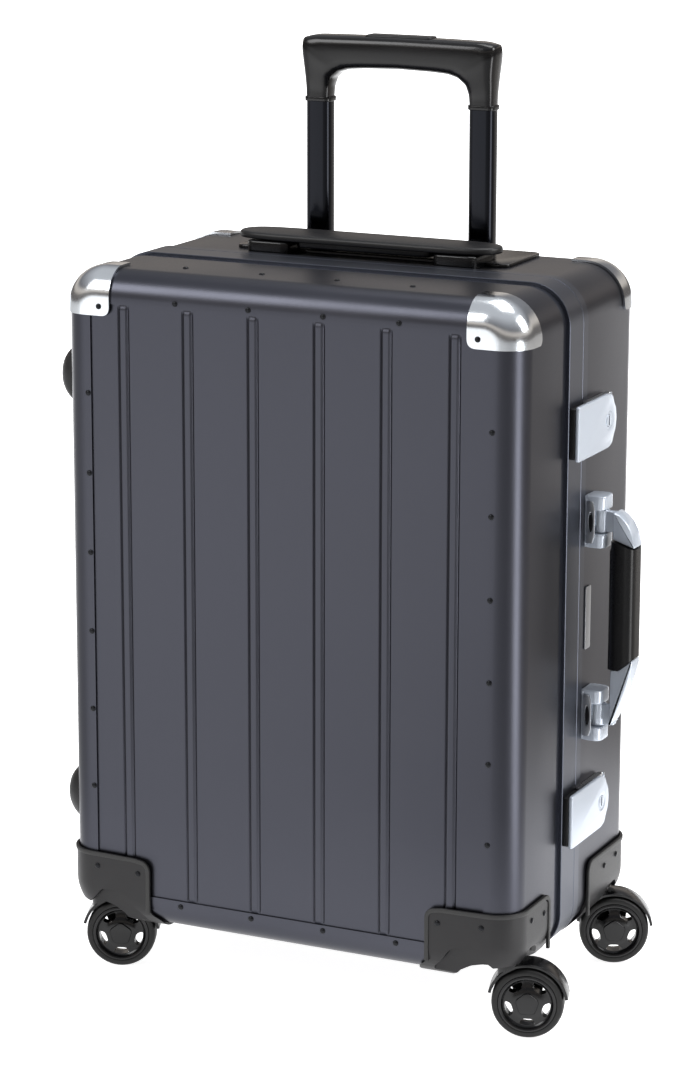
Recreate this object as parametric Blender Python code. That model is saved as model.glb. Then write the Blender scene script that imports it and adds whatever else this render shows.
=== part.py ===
"""Hard-shell cabin suitcase on four swivelling wheels, built as separate pieces.

Frame: +Z up, the ribbed front faces -Y, the latches and side handle are on +X,
the lid hinge and the standing feet are on -X, and the trolley handle is at the
rear (+Y).  z = 0 is the floor and x = y = 0 is the middle of the whole object.
"""
import math

import bmesh
import bpy
import numpy as np
from mathutils import Matrix, Vector

MM = 0.001

# ---------------------------------------------------------------- dimensions
# All in millimetres.  x is measured from the middle of the shell here, and the
# whole assembly is moved by SHIFT_X at the end, so that the origin is under the
# middle of its box.
HALF_W = 185.0
HALF_D = 112.0
Z_LOW = 46.0
Z_TOP = 550.0
Z_MID = 0.5 * (Z_LOW + Z_TOP)
HALF_H = 0.5 * (Z_TOP - Z_LOW)
CORNER_R = 30.0
EDGE_R = 20.0
SHEET = 1.1
GAP = 0.3
PARTING_Y = -1.0

LIP_INSET = 24.5
PANEL_INSET = 20.4
RIB_X = (-133.25, -79.95, -26.65, 26.65, 79.95, 133.25)
RIB_HALF = 3.7
RIB_RISE = 0.8

RAIL_PROUD = 1.5
GROOVE_Y = (-36.0, -26.6)
REAR_RAIL_Y = 8.6

SWIVEL_X = 171.0
SWIVEL_Y = 86.0
WHEEL_R = 27.0
TRAIL = 14.0
HOOD_R = 30.0
WELL_R = 43.2
WELL_TOP = 72.0
CASTER_TURN = {"front_left": 22.0, "front_right": 18.0,
               "rear_left": 16.0, "rear_right": 24.0}

LATCH_Z = {"upper": 442.0, "lower": 148.0}
LEVER_AXIS = (190.6, 45.0)
KEY_Y = 34.0

BRACKET_Z = (370.0, 222.0)
BAIL_AXIS = (195.5, 19.5)
GRIP_OUT = 224.4
GRIP_Z = (263.0, 349.0)

HANDLE_POST_X = 77.0
HANDLE_POST_Y = 31.0

TUBE_X = 68.0
TUBE_Y = 86.0
INNER_TOP = 662.0
GRIP_TOP = 710.0

HINGE_AXIS = (-190.2, PARTING_Y)
FOOT_OUT = 199.2
FOOT_Z = (465.0, 137.0)
FOOT_Y = {"front": -81.0, "rear": 78.0}

SHIFT_X = -0.5 * (GRIP_OUT - FOOT_OUT)


# ---------------------------------------------------------------- scene reset
for old in list(bpy.data.objects):
    bpy.data.objects.remove(old, do_unlink=True)


def material(name, colour, metallic, roughness):
    mat = bpy.data.materials.new(name)
    mat.use_nodes = True
    shader = mat.node_tree.nodes["Principled BSDF"]
    shader.inputs["Base Color"].default_value = (*colour, 1.0)
    shader.inputs["Metallic"].default_value = metallic
    shader.inputs["Roughness"].default_value = roughness
    return mat


SHELL = material("anodised_shell", (0.085, 0.092, 0.11), 0.9, 0.35)
RAIL = material("frame_rail", (0.12, 0.125, 0.14), 1.0, 0.28)
POLISHED = material("polished_alloy", (0.78, 0.79, 0.8), 1.0, 0.18)
HOUSING = material("housing_plastic", (0.07, 0.07, 0.076), 0.0, 0.45)
BLACK = material("black_plastic", (0.012, 0.012, 0.013), 0.0, 0.35)
TUBE = material("black_tube", (0.01, 0.01, 0.012), 0.6, 0.22)
TYRE = material("wheel_tyre", (0.01, 0.01, 0.01), 0.0, 0.6)
LEATHER = material("grip_cover", (0.012, 0.012, 0.014), 0.0, 0.4)
LINING = material("lining_cloth", (0.03, 0.03, 0.034), 0.0, 0.9)
STEEL = material("hinge_steel", (0.35, 0.35, 0.36), 1.0, 0.3)


# ---------------------------------------------------------------- mesh helpers
def finish(bm, name, mat, smooth=None):
    """Turn a bmesh in millimetres into a named object with one material."""
    bmesh.ops.remove_doubles(bm, verts=bm.verts, dist=0.0005)
    bmesh.ops.recalc_face_normals(bm, faces=bm.faces)
    bmesh.ops.scale(bm, vec=(MM, MM, MM), verts=bm.verts)
    mesh = bpy.data.meshes.new(name)
    bm.to_mesh(mesh)
    bm.free()
    if smooth is not None:
        mesh.shade_smooth()
    obj = bpy.data.objects.new(name, mesh)
    bpy.context.scene.collection.objects.link(obj)
    if mat is not None:
        mesh.materials.append(mat)
    if smooth is not None:
        mesh.set_sharp_from_angle(angle=math.radians(smooth))
    return obj


def cutter(obj):
    obj.hide_render = True
    obj.display_type = "WIRE"
    return obj


def boolean(target, other, how, keep=False):
    """Apply one exact Boolean to target and remove the other object."""
    mod = target.modifiers.new("bool", "BOOLEAN")
    mod.operation = how
    mod.solver = "EXACT"
    mod.object = other
    deps = bpy.context.evaluated_depsgraph_get()
    result = bpy.data.meshes.new_from_object(target.evaluated_get(deps))
    target.modifiers.clear()
    target.data = result
    if not keep:
        bpy.data.objects.remove(other, do_unlink=True)
    return target


def cut(target, other, keep=False):
    return boolean(target, cutter(other), "DIFFERENCE", keep)


def join(target, other, keep=False):
    return boolean(target, other, "UNION", keep)


def outline(inset, lower=0.0, steps=6):
    """Rounded rectangle in XZ, inset from the shell's outer wall.

    lower moves the top and bottom runs further in, for the linings."""
    hx = HALF_W - inset
    hz = HALF_H - inset - lower
    r = max(CORNER_R - inset, 1.0)
    pts = []
    for k, (sx, sz) in enumerate(((1, 1), (-1, 1), (-1, -1), (1, -1))):
        for i in range(steps + 1):
            a = math.radians(90.0 * k + 90.0 * i / steps)
            pts.append((sx * (hx - r) + r * math.cos(a),
                        Z_MID + sz * (hz - r) + r * math.sin(a)))
    return pts


def swept(name, profile, mat, closed=True, smooth=35.0, steps=6):
    """Carry a profile of (inset, y[, lower]) points round the shell outline."""
    bm = bmesh.new()
    rings = []
    for point in profile:
        inset, y = point[0], point[1]
        lower = point[2] if len(point) > 2 else 0.0
        rings.append([bm.verts.new((x, y, z)) for x, z in outline(inset, lower, steps)])
    count = len(rings[0])
    pairs = list(zip(rings, rings[1:]))
    if closed:
        pairs.append((rings[-1], rings[0]))
    for first, second in pairs:
        for i in range(count):
            j = (i + 1) % count
            bm.faces.new((first[i], first[j], second[j], second[i]))
    if not closed:
        bm.faces.new(rings[0])
        bm.faces.new(rings[-1])
    return finish(bm, name, mat, smooth)


def prism(name, points, axis, low, high, mat=None, smooth=35.0):
    """Extrude a closed outline along one axis.

    The two outline coordinates are the other two axes in x, y, z order."""
    bm = bmesh.new()

    def place(u, v, w):
        if axis == "x":
            return (w, u, v)
        if axis == "y":
            return (u, w, v)
        return (u, v, w)

    first = [bm.verts.new(place(u, v, low)) for u, v in points]
    second = [bm.verts.new(place(u, v, high)) for u, v in points]
    count = len(points)
    for i in range(count):
        j = (i + 1) % count
        bm.faces.new((first[i], first[j], second[j], second[i]))
    bm.faces.new(first)
    bm.faces.new(second)
    return finish(bm, name, mat, smooth)


def rounded(u0, u1, v0, v1, r, steps=3):
    """Outline of a rectangle with rounded corners."""
    pts = []
    cu, cv = 0.5 * (u0 + u1), 0.5 * (v0 + v1)
    hu, hv = 0.5 * (u1 - u0) - r, 0.5 * (v1 - v0) - r
    for k, (su, sv) in enumerate(((1, 1), (-1, 1), (-1, -1), (1, -1))):
        for i in range(steps + 1):
            a = math.radians(90.0 * k + 90.0 * i / steps)
            pts.append((cu + su * hu + r * math.cos(a), cv + sv * hv + r * math.sin(a)))
    return pts


def circle(u, v, r, steps=20):
    return [(u + r * math.cos(2 * math.pi * i / steps),
             v + r * math.sin(2 * math.pi * i / steps)) for i in range(steps)]


def box(name, x0, x1, y0, y1, z0, z1, mat=None):
    return prism(name, [(x0, y0), (x1, y0), (x1, y1), (x0, y1)], "z", z0, z1, mat)


def soft_box(name, x0, x1, y0, y1, z0, z1, mat, bevel, steps=2):
    """A box whose every edge is bevelled."""
    bm = bmesh.new()
    bmesh.ops.create_cube(bm, size=1.0)
    size = (x1 - x0, y1 - y0, z1 - z0)
    bmesh.ops.scale(bm, vec=size, verts=bm.verts)
    bmesh.ops.translate(bm, vec=(0.5 * (x0 + x1), 0.5 * (y0 + y1), 0.5 * (z0 + z1)),
                        verts=bm.verts)
    bmesh.ops.bevel(bm, geom=list(bm.edges), offset=bevel, segments=steps,
                    profile=0.5, affect="EDGES", clamp_overlap=True)
    return finish(bm, name, mat, 35.0)


def lathe(name, profile, centre, axis, mat=None, steps=24, smooth=35.0):
    """Turn a closed profile of (radius, height) points about an axis."""
    bm = bmesh.new()
    cx, cy, cz = centre
    rings = []
    for r, h in profile:
        ring = []
        for i in range(steps if r > 1e-6 else 1):
            a = 2 * math.pi * i / steps
            u, v = r * math.cos(a), r * math.sin(a)
            if axis == "z":
                ring.append(bm.verts.new((cx + u, cy + v, cz + h)))
            elif axis == "y":
                ring.append(bm.verts.new((cx + u, cy + h, cz + v)))
            else:
                ring.append(bm.verts.new((cx + h, cy + u, cz + v)))
        rings.append(ring)
    for k in range(len(rings)):
        a, b = rings[k], rings[(k + 1) % len(rings)]
        if len(a) == 1 and len(b) == 1:
            continue
        for i in range(steps):
            j = (i + 1) % steps
            if len(a) == 1:
                bm.faces.new((a[0], b[i], b[j]))
            elif len(b) == 1:
                bm.faces.new((a[i], a[j], b[0]))
            else:
                bm.faces.new((a[i], a[j], b[j], b[i]))
    return finish(bm, name, mat, smooth)


def turn_mesh(obj, degrees, pivot):
    """Turn the mesh itself about a vertical line through pivot (mm)."""
    px, py = pivot[0] * MM, pivot[1] * MM
    m = (Matrix.Translation((px, py, 0)) @ Matrix.Rotation(math.radians(degrees), 4, "Z")
         @ Matrix.Translation((-px, -py, 0)))
    obj.data.transform(m)


def set_origin(obj, point):
    """Move an object's origin to a point in mm without moving its mesh."""
    p = Vector(point) * MM
    obj.data.transform(Matrix.Translation(-p))
    obj.location = p


# ---------------------------------------------------------------- shell halves
def arc_profile(side, grow):
    """Edge profile from the wall to the face, grown outwards by grow."""
    r = EDGE_R + grow
    face = HALF_D - EDGE_R
    out = []
    for i in range(7):
        a = math.radians(90.0 * i / 6)
        out.append((EDGE_R - r * math.cos(a), side * (face + r * math.sin(a))))
    return out


def edge_band(name, side, wall_y):
    outer = [(0.0, wall_y)] + arc_profile(side, 0.0)
    outer.append((LIP_INSET, side * HALF_D))
    inner = [(LIP_INSET, side * (HALF_D - SHEET))]
    inner += list(reversed(arc_profile(side, -SHEET)))
    inner.append((SHEET, wall_y))
    return swept(name, outer + inner, SHELL)


def ribbed_panel(name, side):
    """Flat sheet behind the band's lip, with six pressed double-line ribs."""
    face = side * (HALF_D - SHEET - GAP)
    back = face - side * SHEET
    edge = HALF_W - PANEL_INSET
    radius = CORNER_R - PANEL_INSET
    columns = {-edge, -edge + radius * 0.3, -edge + radius,
               edge, edge - radius * 0.3, edge - radius}
    for x in RIB_X:
        columns |= {x - RIB_HALF, x - RIB_HALF + 1.2, x + RIB_HALF - 1.2, x + RIB_HALF}
    columns = sorted(columns)
    top = HALF_H - PANEL_INSET
    ends = HALF_H - LIP_INSET

    def reach(x):
        over = max(abs(x) - (edge - radius), 0.0)
        return top - radius + math.sqrt(max(radius * radius - over * over, 0.0))

    def rise(x):
        near = min(abs(x - c) for c in RIB_X)
        return RIB_RISE if near < RIB_HALF - 0.6 else 0.0

    bm = bmesh.new()
    fronts, backs = [], []
    for x in columns:
        z_end = reach(x)
        foot = min(ends, z_end - 1.5)
        rows = ((-z_end, 0.0), (-foot + 1.0, 0.0), (-foot + 4.0, 1.0),
                (foot - 4.0, 1.0), (foot - 1.0, 0.0), (z_end, 0.0))
        fronts.append([bm.verts.new((x, face + side * rise(x) * w, Z_MID + z))
                       for z, w in rows])
        backs.append([bm.verts.new((x, back, Z_MID + z)) for z, w in rows])
    for i in range(len(columns) - 1):
        for j in range(5):
            bm.faces.new((fronts[i][j], fronts[i + 1][j], fronts[i + 1][j + 1],
                          fronts[i][j + 1]))
            bm.faces.new((backs[i][j], backs[i][j + 1], backs[i + 1][j + 1],
                          backs[i + 1][j]))
        for j in (0, 5):
            bm.faces.new((fronts[i][j], fronts[i + 1][j], backs[i + 1][j], backs[i][j]))
    for i in (0, len(columns) - 1):
        for j in range(5):
            bm.faces.new((fronts[i][j], fronts[i][j + 1], backs[i][j + 1], backs[i][j]))
    return finish(bm, name, SHELL)


def whole_shell(grow):
    """Closed solid of the shell's outer shape grown by grow, used as a cutter."""
    profile = [(90.0, -(HALF_D + grow))]
    profile += list(reversed(arc_profile(-1, grow)))
    profile += arc_profile(1, grow)
    profile.append((90.0, HALF_D + grow))
    return cutter(swept("cut_whole", profile, None, closed=False))


def corner_cap(name, sx, sy):
    """Domed cap over a top corner: a rounded box corner with a parallel inside."""
    reach = (HALF_W - 143.0, HALF_D - 74.0, Z_TOP - 515.0)
    steps = 6
    bm = bmesh.new()

    def surface(grow, radius):
        corner = (HALF_W + grow, HALF_D + grow, Z_TOP + grow)
        span = [reach[k] + grow for k in range(3)]
        grid = {}

        def vertex(depth):
            key = tuple(round(d, 4) for d in depth)
            if key not in grid:
                inside = [max(d, radius) for d in depth]
                away = [inside[k] - depth[k] for k in range(3)]
                size = math.sqrt(sum(v * v for v in away))
                point = [inside[k] - radius * away[k] / size for k in range(3)]
                grid[key] = bm.verts.new((sx * (corner[0] - point[0]),
                                          sy * (corner[1] - point[1]),
                                          corner[2] - point[2]))
            return grid[key]

        quads, rim = [], []
        for flat in range(3):
            one, two = [k for k in range(3) if k != flat]

            def at(i, j):
                depth = [0.0, 0.0, 0.0]
                depth[one] = span[one] * i / steps
                depth[two] = span[two] * j / steps
                return vertex(depth)

            for i in range(steps):
                for j in range(steps):
                    quads.append((at(i, j), at(i + 1, j), at(i + 1, j + 1), at(i, j + 1)))
                rim.append((at(steps, i), at(steps, i + 1)))
                rim.append((at(i, steps), at(i + 1, steps)))
        return quads, rim

    outer, outer_rim = surface(2.4, 22.4)
    inner, inner_rim = surface(0.5, 20.5)
    for quad in outer + inner:
        bm.faces.new(quad)
    for (a, b), (c, d) in zip(outer_rim, inner_rim):
        bm.faces.new((a, b, d, c))
    return finish(bm, name, POLISHED, 50.0)


def well_solids(sx, sy, grow):
    """The blocks that a wheel housing pushes into the shell's bottom corner."""
    cx, cy = sx * SWIVEL_X, sy * SWIVEL_Y
    well = prism("cut_well", circle(cx, cy, WELL_R + grow, 32), "z", 36.0, WELL_TOP + grow)
    face = [sx * 118.0 - sx * grow, sx * 186.0]
    side = [sy * 56.0 - sy * grow, sy * 113.0]
    front = box("cut_front", min(face), max(face), min(sy * (100.0 - grow), sy * 130.0),
                max(sy * (100.0 - grow), sy * 130.0), 36.0, 76.0 + grow)
    flank = box("cut_side", min(sx * (174.0 - grow), sx * 200.0),
                max(sx * (174.0 - grow), sx * 200.0), min(side), max(side), 36.0, 76.0 + grow)
    join(well, front)
    join(well, flank)
    return cutter(well)


def arch_outline(middle, width, top):
    half = 0.5 * width
    return [(middle - half, 30.0), (middle - half, 52.0), (middle - half + 8, 60.0),
            (middle - half + 13, top - 3.5), (middle - half + 19, top),
            (middle + half - 15, top), (middle + half - 12, top - 6.0),
            (middle + half, 54.0), (middle + half, 30.0)]


def wheel_housing(name, sx, sy):
    """Moulded corner that wraps the shell and holds the caster's well."""
    inner_y = 50.0 if sy < 0 else 27.0
    wrap = box(name, min(sx * 115.0, sx * 200.0), max(sx * 115.0, sx * 200.0),
               min(sy * inner_y, sy * 130.0), max(sy * inner_y, sy * 130.0), 30.0, 98.0,
               HOUSING)
    cut(wrap, whole_shell(0.4))
    join(wrap, well_solids(sx, sy, 0.0))
    boolean(wrap, whole_shell(2.2), "INTERSECT")
    cx, cy = sx * SWIVEL_X, sy * SWIVEL_Y
    bowl = [(0.0, 60.0), (17.0, 60.0), (28.0, 57.5), (36.5, 52.0), (40.5, 47.0),
            (41.7, 43.0), (41.7, 20.0), (0.0, 20.0)]
    cut(wrap, lathe("cut_bowl", bowl, (cx, cy, 0.0), "z", steps=32))
    cut(wrap, prism("cut_bore", circle(cx, cy, 4.3, 16), "z", 55.0, 69.0))
    points = [(sx * x, z) for x, z in arch_outline(146.0, 52.0, 71.5)]
    cut(wrap, prism("cut_arch", points, "y", min(sy * 106.5, sy * 130.0),
                    max(sy * 106.5, sy * 130.0)))
    points = [(sy * y, z) for y, z in arch_outline(80.0, 42.0, 69.0)]
    cut(wrap, prism("cut_arch", points, "x", min(sx * 179.5, sx * 200.0),
                    max(sx * 179.5, sx * 200.0)))
    wrap.data.materials.clear()
    wrap.data.materials.append(HOUSING)
    return wrap


def notch(obj, sy):
    """Open the band's bottom corners for the two wheel housings."""
    for sx in (-1, 1):
        cut(obj, well_solids(sx, sy, 0.35))


def notch_sheet(obj):
    """Open the flat panel's bottom corners over their whole thickness."""
    for low, high in ((-230.0, -117.65), (117.65, 230.0)):
        cut(obj, box("cut_corner", low, high, -140.0, 140.0, 20.0, 76.35))


FRONT_BAND_END = GROOVE_Y[0] - GAP
REAR_BAND_END = REAR_RAIL_Y + GAP

front_band = edge_band("front_band", -1, FRONT_BAND_END)
notch(front_band, -1)
rear_band = edge_band("rear_band", 1, REAR_BAND_END)
notch(rear_band, 1)
front_panel = ribbed_panel("front_panel", -1)
notch_sheet(front_panel)
rear_panel = ribbed_panel("rear_panel", 1)
notch_sheet(rear_panel)

front_frame = swept("front_frame", [
    (SHEET + GAP, -42.0), (SHEET + GAP, GROOVE_Y[1]), (-RAIL_PROUD, GROOVE_Y[1]),
    (-RAIL_PROUD, -1.15), (5.5, -1.15), (5.5, -6.0), (3.9, -9.0), (3.9, -42.0)], RAIL,
    smooth=25.0)
rear_frame = swept("rear_frame", [
    (-RAIL_PROUD, -0.85), (-RAIL_PROUD, REAR_RAIL_Y), (SHEET + GAP, REAR_RAIL_Y),
    (SHEET + GAP, 20.0), (3.9, 20.0), (3.9, 8.0), (7.6, 8.0), (7.6, -6.0), (6.0, -6.0),
    (6.0, -0.85)], RAIL, smooth=25.0)

LINING_DROP = 20.0
front_lining = swept("front_lining", [
    (60.0, -108.5, LINING_DROP), (20.0, -108.5, LINING_DROP), (12.0, -103.0, LINING_DROP),
    (9.0, -92.0, LINING_DROP), (9.0, -12.5, LINING_DROP), (8.4, -12.5, 0.0),
    (8.4, -11.0, 0.0), (10.5, -11.0, LINING_DROP), (10.5, -92.0, LINING_DROP),
    (13.2, -102.0, LINING_DROP), (20.5, -107.0, LINING_DROP), (60.0, -107.0, LINING_DROP)],
    LINING, closed=False, steps=4)
rear_lining = swept("rear_lining", [
    (60.0, 73.0, LINING_DROP), (20.0, 73.0, LINING_DROP), (9.0, 62.0, LINING_DROP),
    (9.0, 12.5, LINING_DROP), (8.4, 12.5, 0.0), (8.4, 11.0, 0.0), (10.5, 11.0, LINING_DROP),
    (10.5, 61.0, LINING_DROP), (20.5, 71.5, LINING_DROP), (60.0, 71.5, LINING_DROP)],
    LINING, closed=False, steps=4)
divider = swept("divider", [(60.0, -10.4), (12.5, -10.4), (11.5, -8.6), (12.5, -6.8),
                            (60.0, -6.8)], LINING, closed=False, steps=4)

for half, sign in (("front", -1), ("rear", 1)):
    for hand, way in (("left", -1), ("right", 1)):
        corner_cap(half + "_cap_" + hand, way, sign)
        wheel_housing(half + "_housing_" + hand, way, sign)


# ---------------------------------------------------------------- casters
def caster(where, sx, sy):
    """Hooded fork with its axle and kingpin, a hub with five windows, a tyre.

    Built with the wheel trailing along +X from the swivel axis, then turned."""
    turn = CASTER_TURN[where]
    px, py = sx * SWIVEL_X, sy * SWIVEL_Y
    wx, wz = px + TRAIL, WHEEL_R

    hood = []
    for i in range(15):
        a = math.radians(8.0 + 158.0 * i / 14)
        hood.append((wx + HOOD_R * math.cos(a), wz + HOOD_R * math.sin(a)))
    for i in range(15):
        a = math.radians(166.0 - 158.0 * i / 14)
        hood.append((wx + 28.0 * math.cos(a), wz + 28.0 * math.sin(a)))
    fork = prism(where + "_fork", hood, "y", py - 8.0, py + 12.6, BLACK)
    arm = [(wx - 8.0, wz - 7.0), (wx + 8.0, wz - 7.0), (wx + 13.0, wz + 25.0),
           (wx + 5.0, wz + 29.0), (wx - 9.0, wz + 29.0), (wx - 19.0, wz + 22.0)]
    join(fork, prism("arm", arm, "y", py + 9.6, py + 12.6))
    boss = prism("boss", circle(px, py, 9.0, 20), "z", 44.0, 59.7)
    cut(boss, prism("cut_wheel", circle(wx, wz, 28.0, 40), "y", py - 20.0, py + 20.0))
    join(fork, boss)
    join(fork, prism("kingpin", circle(px, py, 4.0, 16), "z", 58.0, 68.4))
    join(fork, prism("axle", circle(wx, wz, 3.0, 16), "y", py - 7.2, py + 11.0))

    hub_profile = [(0.0, -9.6), (10.5, -9.6), (12.5, -8.4), (18.0, -7.0), (19.4, -9.6),
                   (22.0, -9.6), (22.0, 8.6), (19.0, 8.6), (18.0, 1.0), (7.0, 1.0),
                   (7.0, 8.6), (3.3, 8.6), (3.3, -7.5), (0.0, -7.5)]
    hub = lathe(where + "_hub", hub_profile, (wx, py, wz), "y", BLACK, steps=30)
    for k in range(5):
        a = math.radians(90.0 + 36.0 + 72.0 * k)
        pts = []
        for u, v in ((11.8, -4.2), (16.6, -6.6), (17.4, 0.0), (16.6, 6.6), (11.8, 4.2)):
            pts.append((wx + u * math.cos(a) - v * math.sin(a),
                        wz + u * math.sin(a) + v * math.cos(a)))
        cut(hub, prism("cut_window", pts, "y", py - 12.0, py + 5.0))
    tyre = lathe(where + "_tyre", [
        (22.3, -9.4), (25.4, -9.4), (26.6, -7.6), (WHEEL_R, -4.0), (WHEEL_R, 3.2),
        (26.6, 6.8), (25.4, 8.6), (22.3, 8.6)], (wx, py, wz), "y", TYRE, steps=36)
    for obj in (fork, hub, tyre):
        turn_mesh(obj, turn, (px, py))
        obj.data.materials.clear()
    fork.data.materials.append(BLACK)
    hub.data.materials.append(BLACK)
    tyre.data.materials.append(TYRE)
    a = math.radians(turn)
    centre = (px + TRAIL * math.cos(a), py + TRAIL * math.sin(a), wz)
    set_origin(fork, (px, py, 60.0))
    set_origin(hub, centre)
    set_origin(tyre, centre)


for place, sx, sy in (("front_left", -1, -1), ("front_right", 1, -1),
                      ("rear_left", -1, 1), ("rear_right", 1, 1)):
    caster(place, sx, sy)


# ---------------------------------------------------------------- latches
def latch(where):
    zc = LATCH_Z[where]
    base_pts = [(186.8, 0.5), (189.0, 0.5), (189.0, 38.0), (185.35, 38.0), (185.35, 9.2),
                (186.8, 9.2)]
    base = prism(where + "_latch_base", base_pts, "z", zc - 19.0, zc + 19.0, POLISHED)
    for z0, z1 in ((zc - 19.0, zc - 12.0), (zc + 12.0, zc + 19.0)):
        lug = prism("lug", [(185.35, 30.0), (189.0, 30.0), (LEVER_AXIS[0], 42.4),
                            (LEVER_AXIS[0] + 0.2, 47.2), (187.0, 47.2), (185.35, 44.0)],
                    "z", z0, z1)
        join(base, lug)
    cut(base, prism("cut_pin", circle(LEVER_AXIS[0], LEVER_AXIS[1], 1.5, 14), "z",
                    zc - 25.0, zc + 25.0))

    plate_pts = [(-26.0, -20.5), (34.0, -20.5), (41.0, -18.0), (43.8, -12.0),
                 (47.0, -9.0), (49.0, 0.0), (47.0, 9.0), (43.8, 12.0), (41.0, 18.0),
                 (34.0, 20.5), (-26.0, 20.5)]
    plate_pts = [(y, zc + z) for y, z in plate_pts]
    lever = prism(where + "_latch_lever", plate_pts, "x", 191.5, 194.3, POLISHED)
    join(lever, prism("knuckle", circle(LEVER_AXIS[0], LEVER_AXIS[1], 2.4, 14), "z",
                      zc - 11.6, zc + 11.6))
    join(lever, prism("pin", circle(LEVER_AXIS[0], LEVER_AXIS[1], 1.2, 14), "z",
                      zc - 17.5, zc + 17.5))
    cut(lever, prism("cut_plug", circle(KEY_Y, zc, 4.8, 20), "x", 185.0, 200.0))
    plug = prism(where + "_latch_key", circle(KEY_Y, zc, 4.5, 20), "x", 189.4, 194.6,
                 POLISHED)
    cut(plug, box("cut_slot", 193.0, 196.0, KEY_Y - 0.6, KEY_Y + 0.6, zc - 3.2, zc + 3.2))
    catch = soft_box(where + "_latch_catch", 186.8, 191.1, -25.8, -2.0, zc - 19.0,
                     zc + 19.0, RAIL, 0.8, 1)
    for obj, mat in ((base, POLISHED), (lever, POLISHED), (plug, POLISHED), (catch, RAIL)):
        obj.data.materials.clear()
        obj.data.materials.append(mat)
    set_origin(lever, (LEVER_AXIS[0], LEVER_AXIS[1], zc))
    set_origin(plug, (191.0, KEY_Y, zc))


for place in LATCH_Z:
    latch(place)


# ---------------------------------------------------------------- side handle
def side_bracket(name, zc):
    """Base plate and two cheeks, with a fixed pin along the handle's axis."""
    ax, ay = BAIL_AXIS
    base = box(name, 185.35, 187.3, 9.3, 29.7, zc - 19.5, zc + 19.5, POLISHED)
    cheek = [(186.0, 9.3), (199.0, 9.3), (201.4, 11.7), (201.4, 27.3), (199.0, 29.7),
             (186.0, 29.7)]
    join(base, prism("cheek", cheek, "z", zc + 9.1, zc + 19.5))
    join(base, prism("cheek", cheek, "z", zc - 19.5, zc - 9.1))
    join(base, prism("pin", circle(ax, ay, 2.4, 16), "z", zc - 12.0, zc + 12.0))
    base.data.materials.clear()
    base.data.materials.append(POLISHED)
    return base


def bail():
    """Two curved arms on knuckles, joined by the bar inside the grip."""
    ax, ay = BAIL_AXIS
    mid = 0.5 * (BRACKET_Z[0] + BRACKET_Z[1])
    arm = [(196.0, 82.5), (203.0, 82.5), (211.0, 78.0), (217.5, 70.5), (222.3, 62.0),
           (GRIP_OUT, 53.3), (213.5, 53.3), (212.0, 59.0), (207.5, 65.6), (196.0, 65.6)]
    parts = []
    for way in (1, -1):
        pts = [(x, mid + way * z) for x, z in arm]
        parts.append(prism("arm", pts, "y", ay - 9.0, ay + 9.0))
        cut(parts[-1], box("cut_root", 180.0, 204.0, ay - 20.0, ay - 5.9, mid - 100,
                           mid + 100))
        cut(parts[-1], box("cut_root", 180.0, 204.0, ay + 5.9, ay + 20.0, mid - 100,
                           mid + 100))
        parts.append(prism("knuckle", circle(ax, ay, 5.9, 20), "z",
                           min(mid + way * 65.3, mid + way * 82.7),
                           max(mid + way * 65.3, mid + way * 82.7)))
    body = parts[0]
    body.name = "side_handle_bail"
    body.data.name = "side_handle_bail"
    for other in parts[1:]:
        join(body, other)
    join(body, box("bar", 214.0, 220.0, ay - 3.0, ay + 3.0, mid - 56.0, mid + 56.0))
    cut(body, prism("cut_pin", circle(ax, ay, 2.7, 16), "z", mid - 120.0, mid + 120.0))
    body.data.materials.clear()
    body.data.materials.append(POLISHED)
    set_origin(body, (ax, ay, mid))
    return body


side_bracket("side_bracket_upper", BRACKET_Z[0])
side_bracket("side_bracket_lower", BRACKET_Z[1])
bail()
side_grip = soft_box("side_handle_grip", 204.6, GRIP_OUT, BAIL_AXIS[1] - 10.8,
                     BAIL_AXIS[1] + 10.8, GRIP_Z[0], GRIP_Z[1], LEATHER, 5.0, 3)
cut(side_grip, box("cut_bar", 213.6, 220.4, BAIL_AXIS[1] - 3.4, BAIL_AXIS[1] + 3.4,
                   GRIP_Z[0] - 5.0, GRIP_Z[1] + 5.0))
set_origin(side_grip, (BAIL_AXIS[0], BAIL_AXIS[1], 306.0))


# ---------------------------------------------------------------- top handle
def handle_mount(name, sx):
    x0, x1 = sorted((sx * 59.5, sx * 94.5))
    block = prism(name, rounded(x0, x1, 10.6, 50.0, 6.0), "z", 550.35, 559.4, BLACK)
    cut(block, prism("cut_post", circle(sx * HANDLE_POST_X, HANDLE_POST_Y, 3.9, 16), "z",
                     540.0, 570.0))
    block.data.materials.clear()
    block.data.materials.append(BLACK)


handle_mount("top_mount_left", -1)
handle_mount("top_mount_right", 1)

bar_half = [(0.0, 11.5), (70.0, 11.5), (96.0, 14.5), (104.0, 20.0), (108.0, 31.0),
            (104.0, 42.0), (96.0, 47.5), (70.0, 50.5), (0.0, 50.5)]
bar_pts = [p for p in bar_half if p[0] > 0]
bar_pts += [(-x, y) for x, y in reversed(bar_pts)]
top_bar = prism("top_handle_bar", bar_pts, "z", 560.2, 565.4, BLACK)
pad = prism("pad", rounded(-56.5, 56.5, 17.0, 45.0, 6.0), "z", 555.2, 561.5)
join(top_bar, pad)
for sx in (-1, 1):
    join(top_bar, prism("post", circle(sx * HANDLE_POST_X, HANDLE_POST_Y, 3.5, 16), "z",
                        527.5, 561.5))
    join(top_bar, prism("stop", circle(sx * HANDLE_POST_X, HANDLE_POST_Y, 6.0, 16), "z",
                        527.0, 530.0))
    hole = circle(sx * HANDLE_POST_X, HANDLE_POST_Y, 3.9, 16)
    cut(rear_band, prism("cut_post", hole, "z", 540.0, 570.0))
top_bar.data.materials.clear()
top_bar.data.materials.append(BLACK)


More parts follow.
